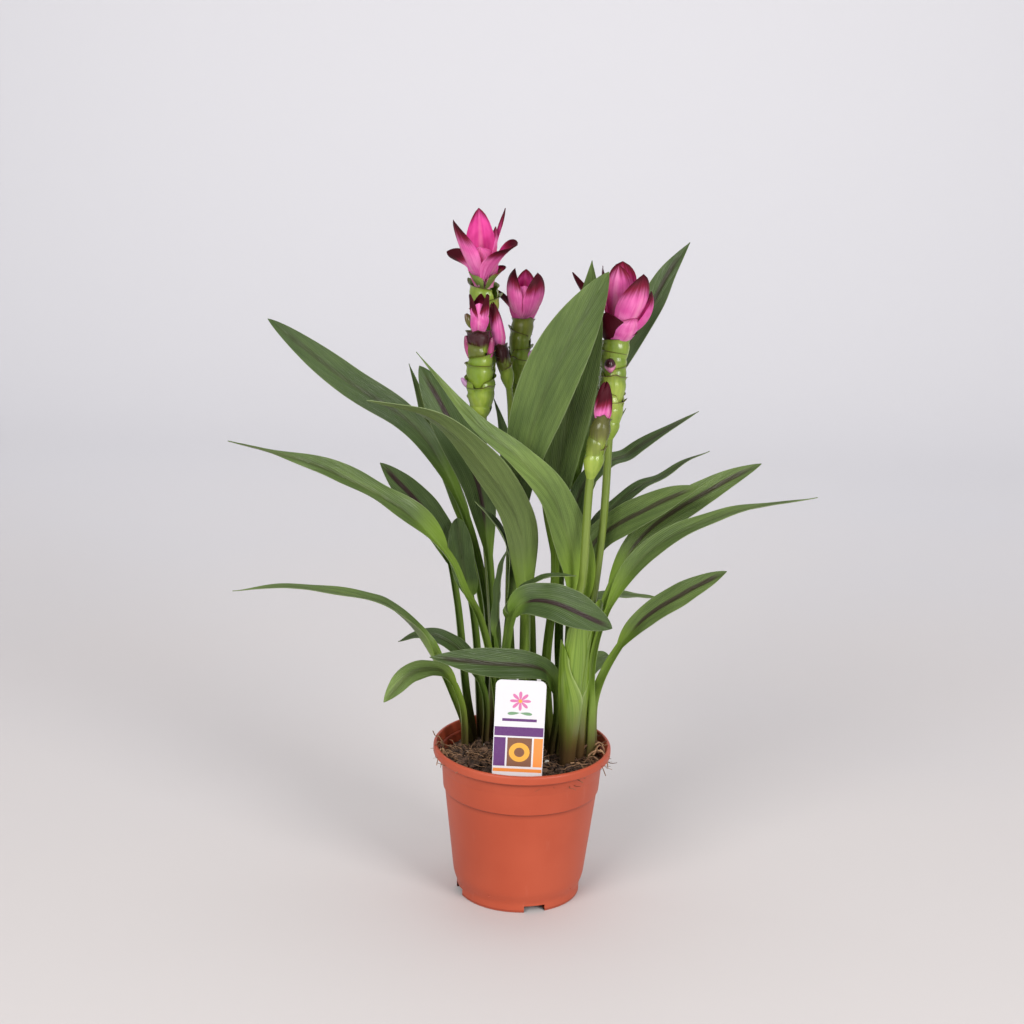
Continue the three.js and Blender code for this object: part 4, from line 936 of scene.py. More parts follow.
# %% One pouch
POUCH_ROWS, POUCH_COLUMNS = 18, 31
POUCH_WRAP = math.radians(166)
KEEL_WIDTH, POINT_WIDTH = 0.12, 0.10


def add_pouch(heap, line, start, height, radius, turn, purple, waist, narrow):
    """Adds a green pouch: slim at its waist, full in the middle, with a lip that stands off."""
    t, u = sheet_grid(POUCH_ROWS, POUCH_COLUMNS)
    belly = mix(waist, 1, np.sin(np.minimum(t / 0.7, 1) * math.pi / 2)) - 0.06 * smooth((t - 0.6) / 0.25)
    lip = 0.16 * np.clip((t - 0.82) / 0.18, 0, 1) ** 2 - narrow * smooth((t - 0.55) / 0.45)
    keel = (0.03 * t + 0.16 * t**8) * np.exp(-((u / KEEL_WIDTH) ** 2))
    reach = radius * (belly + lip + keel - 0.10 * u**4 * t)
    wrap = turn + u * POUCH_WRAP * (1 - 0.12 * t**3)
    point = 0.10 * np.exp(-((u / POINT_WIDTH) ** 2)) * t**6
    climb = height * (t * (1 - 0.16 * u**2 * t) + point)
    share = (start + climb) / line.length
    thick = mix(1.0, 0.5, t)
    outer = around(line, share, reach, wrap)
    inner = around(line, share, reach - thick, wrap)
    edge = np.maximum(t, np.abs(u) ** 8 * smooth(t * 2))
    heap.add_sheet(outer, inner, edge=edge, purple=purple, lift=t)


# %% [markdown]
# ### Old leaf bases and small flowers
#
# At the foot of the two right-hand stalks the bases of old leaves still wrap the stem. Each
# opens on one side towards its tip. The true flowers of the plant are small and lilac, and
# only peep out of a pouch here and there. Each is a closed bud, so a slim three-cornered
# spindle is enough.

# %% Leaf base and floret
BASE_FOOT = 8
BASE_WRAP = math.radians(170)
BASE_ROWS, BASE_COLUMNS, BASE_THICK = 30, 31, 0.7
FLORET_ROWS, FLORET_SIDES = 10, 12


def add_leaf_base(heap, line, height, radius, turn):
    """Wraps an old leaf base round the foot of a stalk."""
    t, u = sheet_grid(BASE_ROWS, BASE_COLUMNS)
    ribs = 0.15 * np.cos(22 * u) * smooth(t * 4)
    reach = radius * mix(0.60, 1, smooth(t / 0.8)) * (1 + 0.08 * u * t) + ribs
    wrap = turn + u * BASE_WRAP * mix(1, 0.35, smooth((t - 0.4) / 0.6))
    climb = BASE_FOOT + height * t * (1 - 0.12 * u**2 * t)
    outer = around(line, climb / line.length, reach, wrap)
    inner = around(line, climb / line.length, reach - BASE_THICK, wrap)
    heap.add_sheet(outer, inner, sheath=1, side=u * 6 + turn, lift=t, edge=np.abs(u) ** 10)


def add_floret(heap, line, radius, start, piece):
    """Adds a small closed flower that leans out of a pouch. Its tint picks one of four colours."""
    t = np.linspace(0, 1, FLORET_ROWS)[:, None]
    turns = full_turn(FLORET_SIDES)[None, :]
    turn = math.radians(piece["turn"])
    low = (start + piece["up"]) / line.length
    foot = around(line, low, radius * 0.8, turn)
    tip = around(line, low + piece["length"] / line.length, radius + piece["out"], turn)
    axis = unit(tip - foot)
    side = unit(np.cross(axis, (0.2, 0.3, 1.0)))
    back = np.cross(axis, side)
    swell = 0.15 + 0.85 * np.sin(math.pi * (0.04 + t * 0.92)) ** 0.7
    girth = piece["girth"] * swell * (1 + 0.12 * np.cos(3 * turns))
    rings = foot + axis * (t * np.linalg.norm(tip - foot))[..., None]
    rings = rings + side * (girth * np.cos(turns))[..., None] + back * (girth * np.sin(turns))[..., None]
    heap.add_tube(rings, lift=t, tint=piece["tint"])


# %% A whole spike
POUCHES_PER_CUP = 1.35
POUCH_RISE = 1.42
SPIRAL = math.radians(137.5)
COLLAR = {1: 1.0, 2: 0.55}
BARE_ROWS, SPIKE_ROWS = 60, 12


def cup_pitch(flower):
    """The height of one storey of cups."""
    return flower["spike"] / (len(flower["cups"]) + 0.25)


def spike_heap(flower):
    line = MiddleLine(flower["foot"], flower["route"])
    heap = Heap()
    bare = line.length - flower["spike"]
    cups = flower["cups"]
    pitch = cup_pitch(flower)

    def spike_radius(storey):
        return np.interp(storey, range(len(cups)), cups)

    bare_rows = np.linspace(0, bare, BARE_ROWS)
    lengths = np.concatenate([bare_rows, np.linspace(bare, line.length, SPIKE_ROWS)[1:]])
    swell = smooth((lengths - bare) / pitch)
    radii = mix(flower["stalk"], cups[-1] * 0.5, swell) * mix(1.12, 1, smooth(lengths / 120))
    heap.add_tube(stalk_rings(line, radii, lengths / line.length), lift=1, stalk=(1 - swell)[:, None])

    # The pouches go up the spike in a spiral. Only the last two, under the head, are dark
    count = round(POUCHES_PER_CUP * len(cups))
    twist = math.radians(flower["twist"])
    for k in range(count):
        share = k / (count - 1)
        radius = spike_radius(share * (len(cups) - 1)) * mix(0.95, 1.01, math.sin(k * 2.4) ** 2)
        start = bare + pitch * (0.02 + share * (len(cups) - 0.74))
        height = pitch * POUCH_RISE * mix(0.95, 1.05, math.sin(k * 1.7) ** 2)
        waist = mix(0.36, 0.74, smooth(k / POUCHES_PER_CUP))
        purple = flower.get("purple", 0) * COLLAR.get(count - k, 0)
        turn = twist + SPIRAL * (k + 1 - count)
        add_pouch(heap, line, start, height, radius, turn, purple, waist, flower.get("narrow", 0))
    for height, radius, turn in flower.get("sheaths", []):
        add_leaf_base(heap, line, height, radius, math.radians(turn))
    for piece in flower.get("florets", []):
        add_floret(heap, line, spike_radius(piece["up"] / pitch), bare, piece)
    return heap, line


# %% [markdown]
# ### The finish of a spike
#
# The pouches are yellow-green, paler at the foot, with a thin brown rim. Under a closed or
# half-open head the last ones are nearly black. One finish serves the stalk, the pouches, the
# leaf bases and the florets, and the numbers on the mesh say which is which.

# %% Spike finish
def spike_finish():
    f = Recipe("flower stem")
    edge, purple, lift, stalk = f.number("edge"), f.number("purple"), f.number("lift"), f.number("stalk")
    under = f.number("under")
    mottle = f.noise(f.place((60, 60, 22)), 1.0, 3)
    streaks = f.noise(f.place((420, 420, 30)), 1.0, 2)
    green = f.blend(f.between(lift, 0.0, 0.85), (0.25, 0.365, 0.034), (0.175, 0.26, 0.026))
    green = f.blend(f.between(mottle, 0.42, 0.70, 0, 0.75), green, (0.41, 0.50, 0.080))
    green = f.blend(f.between(streaks, 0.4, 0.7, 0, 0.3), green, (0.14, 0.235, 0.030))
    green = f.blend(f.between(stalk, 0.2, 0.8), green,
                    f.blend(streaks, (0.13, 0.19, 0.025), (0.22, 0.29, 0.050)))
    ragged = f.plus(lift, f.times(streaks, 0.5))
    blush = f.times(purple, f.between(ragged, 0.25, 0.75, 0.0, 1.0))
    green = f.blend(blush, green, (0.042, 0.006, 0.009))
    rim = f.times(f.between(edge, 0.95, 0.99), f.between(mottle, 0.35, 0.6, 0.4, 0.95))
    green = f.blend(rim, green, (0.12, 0.060, 0.035))
    green = f.blend(f.times(f.between(under, 0.4, 0.6), 0.4), green, (0.10, 0.15, 0.03))
    sheath, side = f.number("sheath"), f.number("side")
    veins = f.noise(f.join(f.times(side, 3.2), f.times(lift, 0.8), sheath), 1.0, 3)
    wrapped = f.blend(f.between(veins, 0.35, 0.65), (0.135, 0.23, 0.022), (0.215, 0.32, 0.040))
    wrapped = f.blend(f.times(edge, 0.6), wrapped, (0.46, 0.55, 0.22))
    wrapped = f.blend(f.times(f.between(under, 0.4, 0.6), 0.5), wrapped, (0.07, 0.11, 0.02))
    green = f.blend(sheath, green, wrapped)
    low = f.between(f.plus(f.axis("Z"), f.times(veins, -0.03)), 0.112, 0.170, 0.9, 0.0)
    green = f.blend(low, green, (0.080, 0.026, 0.018))
    tint = f.number("tint")
    lilac = f.blend(lift, (0.60, 0.36, 0.52), (0.42, 0.20, 0.42))
    magenta = f.blend(lift, (0.62, 0.10, 0.30), (0.20, 0.02, 0.07))
    pouch = f.blend(lift, (0.20, 0.26, 0.05), (0.12, 0.05, 0.03))
    capped = f.blend(f.between(lift, 0.45, 0.62), (0.74, 0.26, 0.46), (0.045, 0.008, 0.015))
    for step, colour in enumerate((pouch, magenta, lilac, capped)):
        green = f.blend(f.between(tint, step + 0.6, step + 0.7), green, colour)
    normal = f.bump(streaks, 0.0003)
    f.let_light_through(green, 0.12, normal)
    return f.finish(base_color=green, roughness=0.27, normal=normal, specular_ior_level=0.6)


SPIKE_FINISH = spike_finish()
spike_lines = {}
spike_pieces = []
for flower in FLOWERS:
    name = flower["name"]
    heap, spike_lines[name] = spike_heap(flower)
    nodes = [f"flower_{name}_stem"]
    spike_pieces.append(make_piece(f"flower_{name}_green_spike", heap, [SPIKE_FINISH], nodes))
tell("flower stems", spike_pieces)

# %% [markdown]
# ## The pink heads
#
# The showy part isn't the flower but a tuft of coloured bracts. Each bract is a broad, cupped,
# pointed blade. It leans out from the axis at its root and bends in or out towards its tip, so
# two angles and a length give its whole side view. Its cross-section is a piece of a circle
# round the axis, which makes the bracts nest as petals do.

# %% One bract
BRACT_ROWS, BRACT_COLUMNS = 24, 15
BRACT_THICK = 0.6
BRACT_TIP = 0.9
ROOT_RADIUS = 2
USUAL_POINT, USUAL_CUP = 1.8, 11


def bract_width(t, piece):
    """Half as wide at the root, full in the middle, and pointed at the tip."""
    waist = mix(0.5, 1, smooth(t / 0.5))
    past = np.clip((t - 0.5) / 0.5, 0, 1)
    taper = (1 - past ** piece.get("point", USUAL_POINT)) ** 0.75
    return np.maximum(BRACT_TIP, piece["width"] * waist * taper)


def walked(values):
    """Adds up values along the rows, halfway from each row to the next."""
    return np.concatenate([[0], np.cumsum((values[1:] + values[:-1]) / 2)]) / (len(values) - 1)


def add_bract(heap, piece, place):
    """Adds one bract. The place function moves points from the head's own axes to the plant's."""
    t = np.linspace(0, 1, BRACT_ROWS)
    u = np.linspace(-1, 1, BRACT_COLUMNS)[None, :]
    turn = math.radians(piece["turn"])
    out = np.array([math.cos(turn), math.sin(turn), 0])
    up = np.array([0.0, 0.0, 1.0])

    # The side view says where the rib runs and which way its skin faces
    lean = np.radians(mix(*piece["leans"], t**1.4))
    radius = ROOT_RADIUS + piece["length"] * walked(np.sin(lean))
    height = piece["rise"] + piece["length"] * walked(np.cos(lean))
    rib = radius[:, None] * out + height[:, None] * up
    skin = np.cos(lean)[:, None] * out - np.sin(lean)[:, None] * up

    # A roll turns the blade about its own rib, more and more towards the tip
    sideways = np.array([-math.sin(turn), math.cos(turn), 0])
    roll = np.radians(piece.get("roll", 0) * smooth(t))[:, None]
    side = (sideways * np.cos(roll) + skin * np.sin(roll))[:, None, :]
    face = (skin * np.cos(roll) - sideways * np.sin(roll))[:, None, :]

    # Across the rib the blade is a piece of a circle, with a slight flutter near its edges
    cup = piece.get("cup", USUAL_CUP)
    bend = u * bract_width(t, piece)[:, None] / 2 / cup
    t = t[:, None]
    normal = face * np.cos(bend)[..., None] + side * np.sin(bend)[..., None]
    seed = piece["turn"] * 0.1 + piece["length"]
    flutter = 0.6 * np.sin(9 * t + seed + 2 * u) * np.abs(u) ** 3 * smooth(t * 2)
    ridge = 0.35 * np.exp(-((u / 0.16) ** 2)) * np.sin(math.pi * t) ** 0.5
    arc = side * (cup * np.sin(bend))[..., None] + face * (cup * (np.cos(bend) - 1))[..., None]
    upper = rib[:, None, :] + arc + normal * (flutter + ridge)[..., None]
    thick = BRACT_THICK * mix(1.5, 0.7, t) * (1 - 0.4 * np.abs(u))
    lower = upper - normal * thick[..., None]
    heap.add_sheet(place(upper), place(lower), share=t, side=u, dark=piece.get("dark", 0),
                   green=piece.get("green", 0), seed=seed % 7)


# %% One bract of a closed head
ROLLED_BRACTS = 3
ROLLED_WRAP = math.radians(100)


def add_rolled_bract(heap, bud, turn, place):
    """Adds one bract of a closed head, rolled round its neighbours into a spindle."""
    t, u = sheet_grid(BRACT_ROWS, BRACT_COLUMNS)
    past = np.clip((t - bud["full_at"]) / (1 - bud["full_at"]), 0, 1)
    swell = mix(0.5, 1, smooth(t / bud["full_at"])) * np.maximum(0.1, np.sqrt(1 - past**2))
    angle = turn + u * ROLLED_WRAP * (1 - 0.35 * past**2) + 0.5 * t
    reach = bud["radius"] * (swell * (1 - 0.07 * u) + 0.1 * past**3 * np.exp(-((u / 0.5) ** 2)))
    rise = bud["length"] * t * (1 - 0.10 * (u + 0.2) ** 2 * t)
    away = np.stack([np.cos(angle), np.sin(angle), 0 * angle], -1)
    upper = away * reach[..., None]
    upper[..., 2] = rise
    lower = away * (reach - BRACT_THICK * np.minimum(1, 2 * swell))[..., None]
    lower[..., 2] = rise
    heap.add_sheet(place(upper), place(lower), share=t, side=u, dark=bud["dark"], seed=turn)


# %% A whole head
SEAT_GAP = 0.6
CORE_SIDES = 16


def head_heap(flower, line):
    heap = Heap()
    seat = (line.length - flower["spike"] + (len(flower["cups"]) + 0.1) * cup_pitch(flower)) / line.length
    foot = line.at(seat)
    axis = unit(np.array(flower["head_top"], float) - np.array(flower["route"][-1], float))
    turned = np.array(Vector((0, 0, 1)).rotation_difference(Vector(axis)).to_matrix())

    def place(points):
        return points @ turned.T + foot + axis * SEAT_GAP

    if "bud" in flower:
        for k in range(ROLLED_BRACTS):
            add_rolled_bract(heap, flower["bud"], math.radians(120 * k - 60), place)
        return heap
    core_radius = flower["cups"][-1] * 0.45
    core = [[(r * math.cos(a), r * math.sin(a), z) for a in full_turn(CORE_SIDES)]
            for z, r in ((0, core_radius), (flower["core"], core_radius * 0.4))]
    heap.add_tube(place(np.array(core)), share=0.1, dark=0, green=0.4)
    for piece in flower["bracts"]:
        add_bract(heap, piece, place)
    return heap


# %% [markdown]
# ### The finish of a bract
#
# A bract is pink, paler along its rib and at its root, and deeper on the inside. Most of them
# run out into a dark tip. The tip's edge isn't a straight line: it feathers along the veins, so
# the noise that draws the veins also moves the edge.

# %% Bract finish
def bract_finish():
    f = Recipe("bract")
    share, side, dark, seed = f.number("share"), f.number("side"), f.number("dark"), f.number("seed")
    inner = f.between(f.number("under"), 0.4, 0.6)
    streaks = f.noise(f.join(f.times(side, 9), f.times(share, 1.6), seed), 1.0, 3)
    cloud = f.noise(f.join(side, f.times(share, 3), seed), 1.3, 2)
    outer_pink = f.blend(f.between(cloud, 0.3, 0.7), (0.75, 0.115, 0.42), (0.88, 0.25, 0.57))
    inner_pink = f.blend(f.between(cloud, 0.3, 0.7), (0.66, 0.045, 0.28), (0.82, 0.10, 0.42))
    pink = f.blend(inner, outer_pink, inner_pink)
    pink = f.blend(f.between(streaks, 0.40, 0.75, 0, 0.55), pink, (0.60, 0.040, 0.26))
    middle = f.between(f.size_of(side), 0.0, 0.22, 0.55, 0.0)
    pink = f.blend(f.times(middle, f.between(share, 0.2, 0.9, 1.0, 0.3)), pink, (0.90, 0.42, 0.58))
    pale_foot = f.between(share, 0.0, 0.22, 0.6, 0.0)
    pink = f.blend(pale_foot, pink, (0.72, 0.42, 0.50))
    pink = f.blend(f.number("green"), pink, (0.22, 0.30, 0.07))

    # The dark tip starts at its own share of the length, a little sooner at the sides
    start = f.minus(1.0, dark)
    feather = f.times(f.minus(streaks, 0.5), 0.2)
    bow = f.times(f.size_of(side), 0.12)
    reach = f.minus(f.plus(f.plus(share, feather), bow), start)
    brown = f.between(reach, -0.10, 0.10)
    on = f.between(dark, 0.0, 0.04)
    pink = f.blend(f.times(brown, on), pink, (0.25, 0.015, 0.045))
    tip = f.between(reach, 0.04, 0.22)
    pink = f.blend(f.times(tip, on), pink, (0.070, 0.003, 0.010))
    normal = f.bump(streaks, 0.0004)
    f.let_light_through(f.blend(1.0, pink, (1.3, 0.9, 1.1), "MULTIPLY"), 0.25, normal)
    return f.finish(base_color=pink, roughness=0.48, normal=normal, specular_ior_level=0.14)


BRACT_FINISH = bract_finish()
head_pieces = []
for flower in FLOWERS:
    name = flower["name"]
    heap = head_heap(flower, spike_lines[name])
    nodes = [f"flower_{name}_bracts"]
    head_pieces.append(make_piece(f"flower_{name}_pink_head", heap, [BRACT_FINISH], nodes))
tell("pink heads", head_pieces)

# %% [markdown]
# ## The young shoot
#
# A new leaf comes up rolled into a slim spear, green below and maroon at its tip. It has no
# blade yet, so a stack of rings along a middle line is enough for it.

# %% Young shoot
SHOOT = dict(foot=(42, 31), route=[(43, 31, 206), (43, 27, 296), (41, 24, 327)], radius=2.6, tip=0.7)
SHOOT_ROWS = 60


def shoot_heap():
    line = MiddleLine(SHOOT["foot"], SHOOT["route"])
    t = np.linspace(0, 1, SHOOT_ROWS)
    radii = mix(SHOOT["radius"], SHOOT["tip"], smooth((t - 0.75) / 0.25))
    heap = Heap()
    heap.add_tube(stalk_rings(line, radii, t), share=t[:, None])
    return heap


def shoot_finish():
    f = Recipe("young shoot")
    share = f.number("share")
    fibres = f.noise(f.place((500, 500, 18)), 1.0, 3)
    green = f.blend(fibres, (0.10, 0.17, 0.045), (0.17, 0.26, 0.07))
    maroon = f.blend(fibres, (0.045, 0.016, 0.022), (0.10, 0.035, 0.040))
    colour = f.blend(f.between(f.plus(share, f.times(fibres, 0.1)), 0.86, 0.95), green, maroon)
    colour = f.blend(f.between(f.axis("Z"), 0.118, 0.170, 0.75, 0.0), colour, (0.10, 0.05, 0.035))
    return f.finish(base_color=colour, roughness=0.42, normal=f.bump(fibres, 0.0003))


spear = make_piece("young_shoot_spear", shoot_heap(), [shoot_finish()], ["young_shoot"])
tell("young shoot", [spear])

# %% [markdown]
# ## The soil
#
# Potting soil is peat and bark: dark, crumbly, with threads of root and coir and a few white
# grains. The ground is a height field with the same broad rise and fall as the measured solid.
# Crumbs are small bent balls pressed into it, and fibres are thin crooked tubes that lie on
# top. A few stray threads hang over the pot's rim.
#
# Where each crumb lies is left to chance, but the draws start from a fixed seed, so the bed
# comes out the same each time.

# %% Ground
SOIL_LEVEL, SOIL_BOTTOM, SOIL_EDGE = 119, 7.4, 65.2
SOIL_SIDES = [(49.6, SOIL_BOTTOM), (53.3, 17), (62.2, 92.4), (62.2, 98.4)]
SOIL_RINGS, SOIL_SEGMENTS, SMALLEST_RING = 62, 200, 0.02
LEFT_RISE = dict(x=-50, y=-22, spread=700, height=7)
RIGHT_RISE = dict(x=56, y=-26, spread=300, height=4)
LUMP_HEIGHT = 1.32

# The kind of soil that a point belongs to. The finish reads it
PEAT, THREAD, GRAIN = 0.0, 1.0, 2.0


def rise_share(x, y, rise):
    """How far the soil has risen to the top of a rise, from 0 to 1."""
    return np.exp(-((x - rise["x"]) ** 2 + (y - rise["y"]) ** 2) / rise["spread"])


def soil_height(x, y):
    """The ground's height: two rises, broad lumps, and a slight fall towards the wall."""
    left, right = rise_share(x, y, LEFT_RISE), rise_share(x, y, RIGHT_RISE)
    lumps = np.sin(x * 0.31 + 1.3) * np.sin(y * 0.27 - 0.4) + 0.6 * np.sin(x * 0.71 - y * 0.63)
    fall = 2.5 * smooth((np.hypot(x, y) - 45) / 20) * (1 - left)
    return SOIL_LEVEL + LEFT_RISE["height"] * left + RIGHT_RISE["height"] * right + LUMP_HEIGHT * lumps - fall


def in_pot(x, y):
    return math.hypot(x, y) < SOIL_EDGE


def rough_ground(x, y):
    """A finer roughness: sines of many sizes, each turned another way."""
    total = 0 * x
    for k in range(1, 15):
        pitch, turn = 0.35 * 1.22**k, 2.4 * k
        total += np.sin((x * math.cos(turn) + y * math.sin(turn)) * pitch + k * k) / (0.8 + 0.28 * k)
    return total * 0.42


def add_ground(heap):
    turn = full_turn(SOIL_SEGMENTS)
    rings = [np.stack([r * np.cos(turn), r * np.sin(turn), z + 0 * turn], -1) for r, z in SOIL_SIDES]
    for k in range(SOIL_RINGS):
        r = SOIL_EDGE * (1 - k / SOIL_RINGS) + SMALLEST_RING
        x, y = r * np.cos(turn), r * np.sin(turn)
        rings.append(np.stack([x, y, soil_height(x, y) + rough_ground(x, y)], -1))
    heap.add_tube(np.array(rings), kind=PEAT, shade=0.5)


# %% Crumbs and white grains
chance = random.Random(7)


def ball_parts():
    """The points and faces of a small ball, to copy for every crumb."""
    ball = bmesh.new()
    bmesh.ops.create_icosphere(ball, subdivisions=2, radius=1)
    points = np.array([tuple(v.co) for v in ball.verts])
    faces = [tuple(v.index for v in face.verts) for face in ball.faces]
    ball.free()
    return points, faces


BALL_POINTS, BALL_FACES = ball_parts()


def spot_in_pot():
    turn = chance.uniform(0, 2 * math.pi)
    radius = (SOIL_EDGE - 1) * math.sqrt(chance.random())
    return radius * math.cos(turn), radius * math.sin(turn)


def add_crumb(heap, x, y, size, kind, sunk):
    """A ball with bumps, stretched and turned by chance, and sunk by a share of its size."""
    pull = np.array([chance.uniform(2, 5) for _ in range(3)])
    bumps = 1 + 0.22 * np.sin(BALL_POINTS @ pull + chance.uniform(0, 6))
    stretch = np.array([chance.uniform(0.6, 1.5) for _ in range(3)]) * [1, 1, 0.8]
    points = BALL_POINTS * bumps[:, None] * stretch * size
    a = chance.uniform(0, 2 * math.pi)
    turned = points @ np.array([(math.cos(a), math.sin(a), 0), (-math.sin(a), math.cos(a), 0), (0, 0, 1)])
    turned += np.array([x, y, float(soil_height(x, y)) + size * (1 - sunk) * 0.6])
    heap.add(turned, BALL_FACES, kind=kind, shade=chance.random())


# %% Threads
THREAD_SIDES = 5
FIBRE_STEPS, FIBRE_ROWS, FIBRE_LIFT = 9, 14, 0.6
STRAY_STEPS, STRAY_ROWS, STRAY_HUMP = 6, 16, 6


def add_thread(heap, points, radii):
    """A thin tube through points. The radii say how it tapers."""
    share = np.linspace(0, 1, len(radii))[:, None]
    rings = around(Line(points), share, radii[:, None], full_turn(THREAD_SIDES)[None, :])
    heap.add_tube(rings, kind=THREAD, shade=chance.random())


def add_fibre(heap, start, turn, length, thick):
    """A crooked thread that starts at a place and wanders over the ground."""
    x, y, z = start
    reach = length / FIBRE_STEPS
    points = []
    for _ in range(FIBRE_STEPS + 1):
        points.append((x, y, z))
        turn += chance.uniform(-0.5, 0.5)
        x += reach * math.cos(turn)
        y += reach * math.sin(turn)
        z += chance.uniform(-0.35, 0.45) * reach
        if in_pot(x, y):
            z = max(z, float(soil_height(x, y)) + FIBRE_LIFT)
    add_thread(heap, points, thick / 2 * mix(1, 0.45, np.linspace(0, 1, FIBRE_ROWS)))


def add_stray(heap, start, heading, length, lift):
    """A thread that leaves the pot over its rim, and then bends up or down."""
    t = np.linspace(0, 1, STRAY_STEPS)
    bow = 0.35 * np.sin(t * 3 + heading)
    x = start[0] + length * t * math.cos(heading) - length * bow * t * math.sin(heading)
    y = start[1] + length * t * math.sin(heading) + length * bow * t * math.cos(heading)
    z = start[2] + STRAY_HUMP * np.sin(math.pi * np.minimum(1, t * 1.2)) + lift * t**3
    add_thread(heap, np.stack([x, y, z], -1), mix(0.85, 0.35, np.linspace(0, 1, STRAY_ROWS)))


# %% The whole bed of soil
CRUMBS, PILED_CRUMBS, GRAINS = 950, 90, 16
SUNK, PROUD = 0.35, 0.1

# How many, their middle and its spread, and the ranges of height over the ground, length, thickness
FIBRES = [
    (190, (0, 0), (34, 34), (0.5, 1.5), (9, 26), (0.35, 0.8)),
    (110, (-48, -24), (10, 12), (1, 4), (9, 22), (0.4, 1.0)),
    (60, (54, -4), (7, 16), (1, 6), (12, 26), (0.5, 1.2)),
    (24, (30, -48), (14, 7), (1, 3), (8, 18), (0.4, 0.8)),
]

# The start, the heading in degrees, the length, and how far the end rises or hangs
STRAYS = [
    (-66, -4, 129, 172, 10, 12), (-66, -10, 129, 200, 8, 4), (-64, -20, 128, 204, 8, -9),
    (-62, -26, 128, 214, 7, -8), (-65, -15, 129, 195, 8, -5),
    (56, -14, 128, -30, 18, 2), (60, -14, 129, -24, 13, -8), (58, -4, 129, -4, 14, 6),
    (54, -22, 127, -42, 18, -10), (62, -8, 131, -12, 11, -16), (57, 12, 130, 30, 12, 5),
    (50, -8, 130, 10, 22, 8),
]


def soil_heap():
    heap = Heap()
    add_ground(heap)
    for _ in range(CRUMBS):
        x, y = spot_in_pot()
        add_crumb(heap, x, y, chance.uniform(0.7, 2.3), PEAT, SUNK)
    for _ in range(PILED_CRUMBS):
        x, y = chance.gauss(-44, 13), chance.gauss(-26, 13)
        if in_pot(x, y):
            add_crumb(heap, x, y, chance.uniform(1.5, 3.6), PEAT, PROUD)
    for _ in range(GRAINS):
        x, y = spot_in_pot()
        add_crumb(heap, x, y, chance.uniform(0.8, 1.7), GRAIN, PROUD)
    for count, middle, spread, height, length, thick in FIBRES:
        for _ in range(count):
            x, y = chance.gauss(middle[0], spread[0]), chance.gauss(middle[1], spread[1])
            if in_pot(x, y):
                z = float(soil_height(x, y)) + chance.uniform(*height)
                turn = chance.uniform(0, 6.28)
                add_fibre(heap, (x, y, z), turn, chance.uniform(*length), chance.uniform(*thick))
    for x, y, z, heading, length, lift in STRAYS:
        add_stray(heap, (x, y, z), math.radians(heading), length, lift)
    return heap


# %% Soil finish
def soil_finish():
    f = Recipe("potting soil")
    kind, shade = f.number("kind"), f.number("shade")
    clumps = f.noise(f.place(), 260, 5, 0.65)
    damp = f.noise(f.place(), 60, 3)
    peat = f.blend(f.between(clumps, 0.35, 0.7), (0.022, 0.014, 0.011), (0.150, 0.090, 0.062))
    peat = f.blend(f.between(damp, 0.4, 0.65, 0, 0.6), peat, (0.048, 0.030, 0.022))
    peat = f.blend(f.between(shade, 0.6, 1.0, 0, 0.6), peat, (0.24, 0.14, 0.092))
    thread = f.blend(shade, (0.085, 0.042, 0.025), (0.40, 0.23, 0.125))
    colour = f.blend(f.between(kind, THREAD - 0.6, THREAD - 0.4), peat, thread)
    colour = f.blend(f.between(kind, GRAIN - 0.6, GRAIN - 0.4), colour, (0.62, 0.60, 0.55))
    return f.finish(base_color=colour, roughness=0.9, normal=f.bump(clumps, 0.0012),
                    specular_ior_level=0.25)


tell("potting soil", [make_piece("potting_soil", soil_heap(), [soil_finish()], ["soil"])])

# %% [markdown]
# ## The pot
#
# The pot is turned: one outline spun round the upright axis. The outline starts under the
# middle, goes out to the foot, up the wall, over the rolled rim, and down the inside. Small
# arcs at the corners catch a thin line of light, as moulded plastic does. Four notches in the
# foot, eight drain holes and two small dimples are cut out of it afterwards.

# %% Outline with round corners
ARC_SHARES = (0, 0.2, 0.4, 0.6, 0.8, 1)
LONGEST_ARC = 0.45


def round_corners(outline, radii):
    """Replaces corners of an outline by small arcs, where a radius is given."""
    result = []
    for k, point in enumerate(outline):
        radius = radii.get(k, 0)
        here = np.array(point, float)
        if not radius or k in (0, len(outline) - 1):
            result.append(tuple(here))
            continue
        back, on = np.array(outline[k - 1], float) - here, np.array(outline[k + 1], float) - here
        reach_back = min(radius, np.linalg.norm(back) * LONGEST_ARC)
        reach_on = min(radius, np.linalg.norm(on) * LONGEST_ARC)
        start, end = here + unit(back) * reach_back, here + unit(on) * reach_on
        for s in ARC_SHARES:
            result.append(tuple((1 - s) ** 2 * start + 2 * s * (1 - s) * here + s**2 * end))
    return result


# Radius and height of each corner, and the radius of its arc by the corner's number
POT_OUTLINE = [
    (0, 0), (27, 0), (30, 5), (44, 5), (46, 0), (51.8, 0), (52.4, 0.8), (52.4, 8), (55.6, 17),
    (64.7, 93.8), (66, 94.4), (68.2, 123.4), (69.2, 124.4), (74.1, 124.4), (75, 125.4), (75, 131),
    (73.8, 132.2), (72, 132.2), (70, 125.9), (64.2, 96), (62.7, 92.8), (53.7, 17), (50.8, 9),
    (50.5, 1.9), (45.2, 1.9), (43.2, 6.9), (29, 6.9), (26, 1.9), (0, 1.9),
]
CORNER_RADII = {2: 1, 3: 1, 5: 0.5, 6: 0.5, 7: 2.5, 8: 4, 9: 0.8, 10: 0.9, 11: 1, 12: 0.8, 13: 0.6,
                14: 0.6, 15: 1.5, 16: 1.5, 17: 1.2, 18: 3, 19: 2, 20: 2}

# %% Turned wall
POT_SEGMENTS = 160


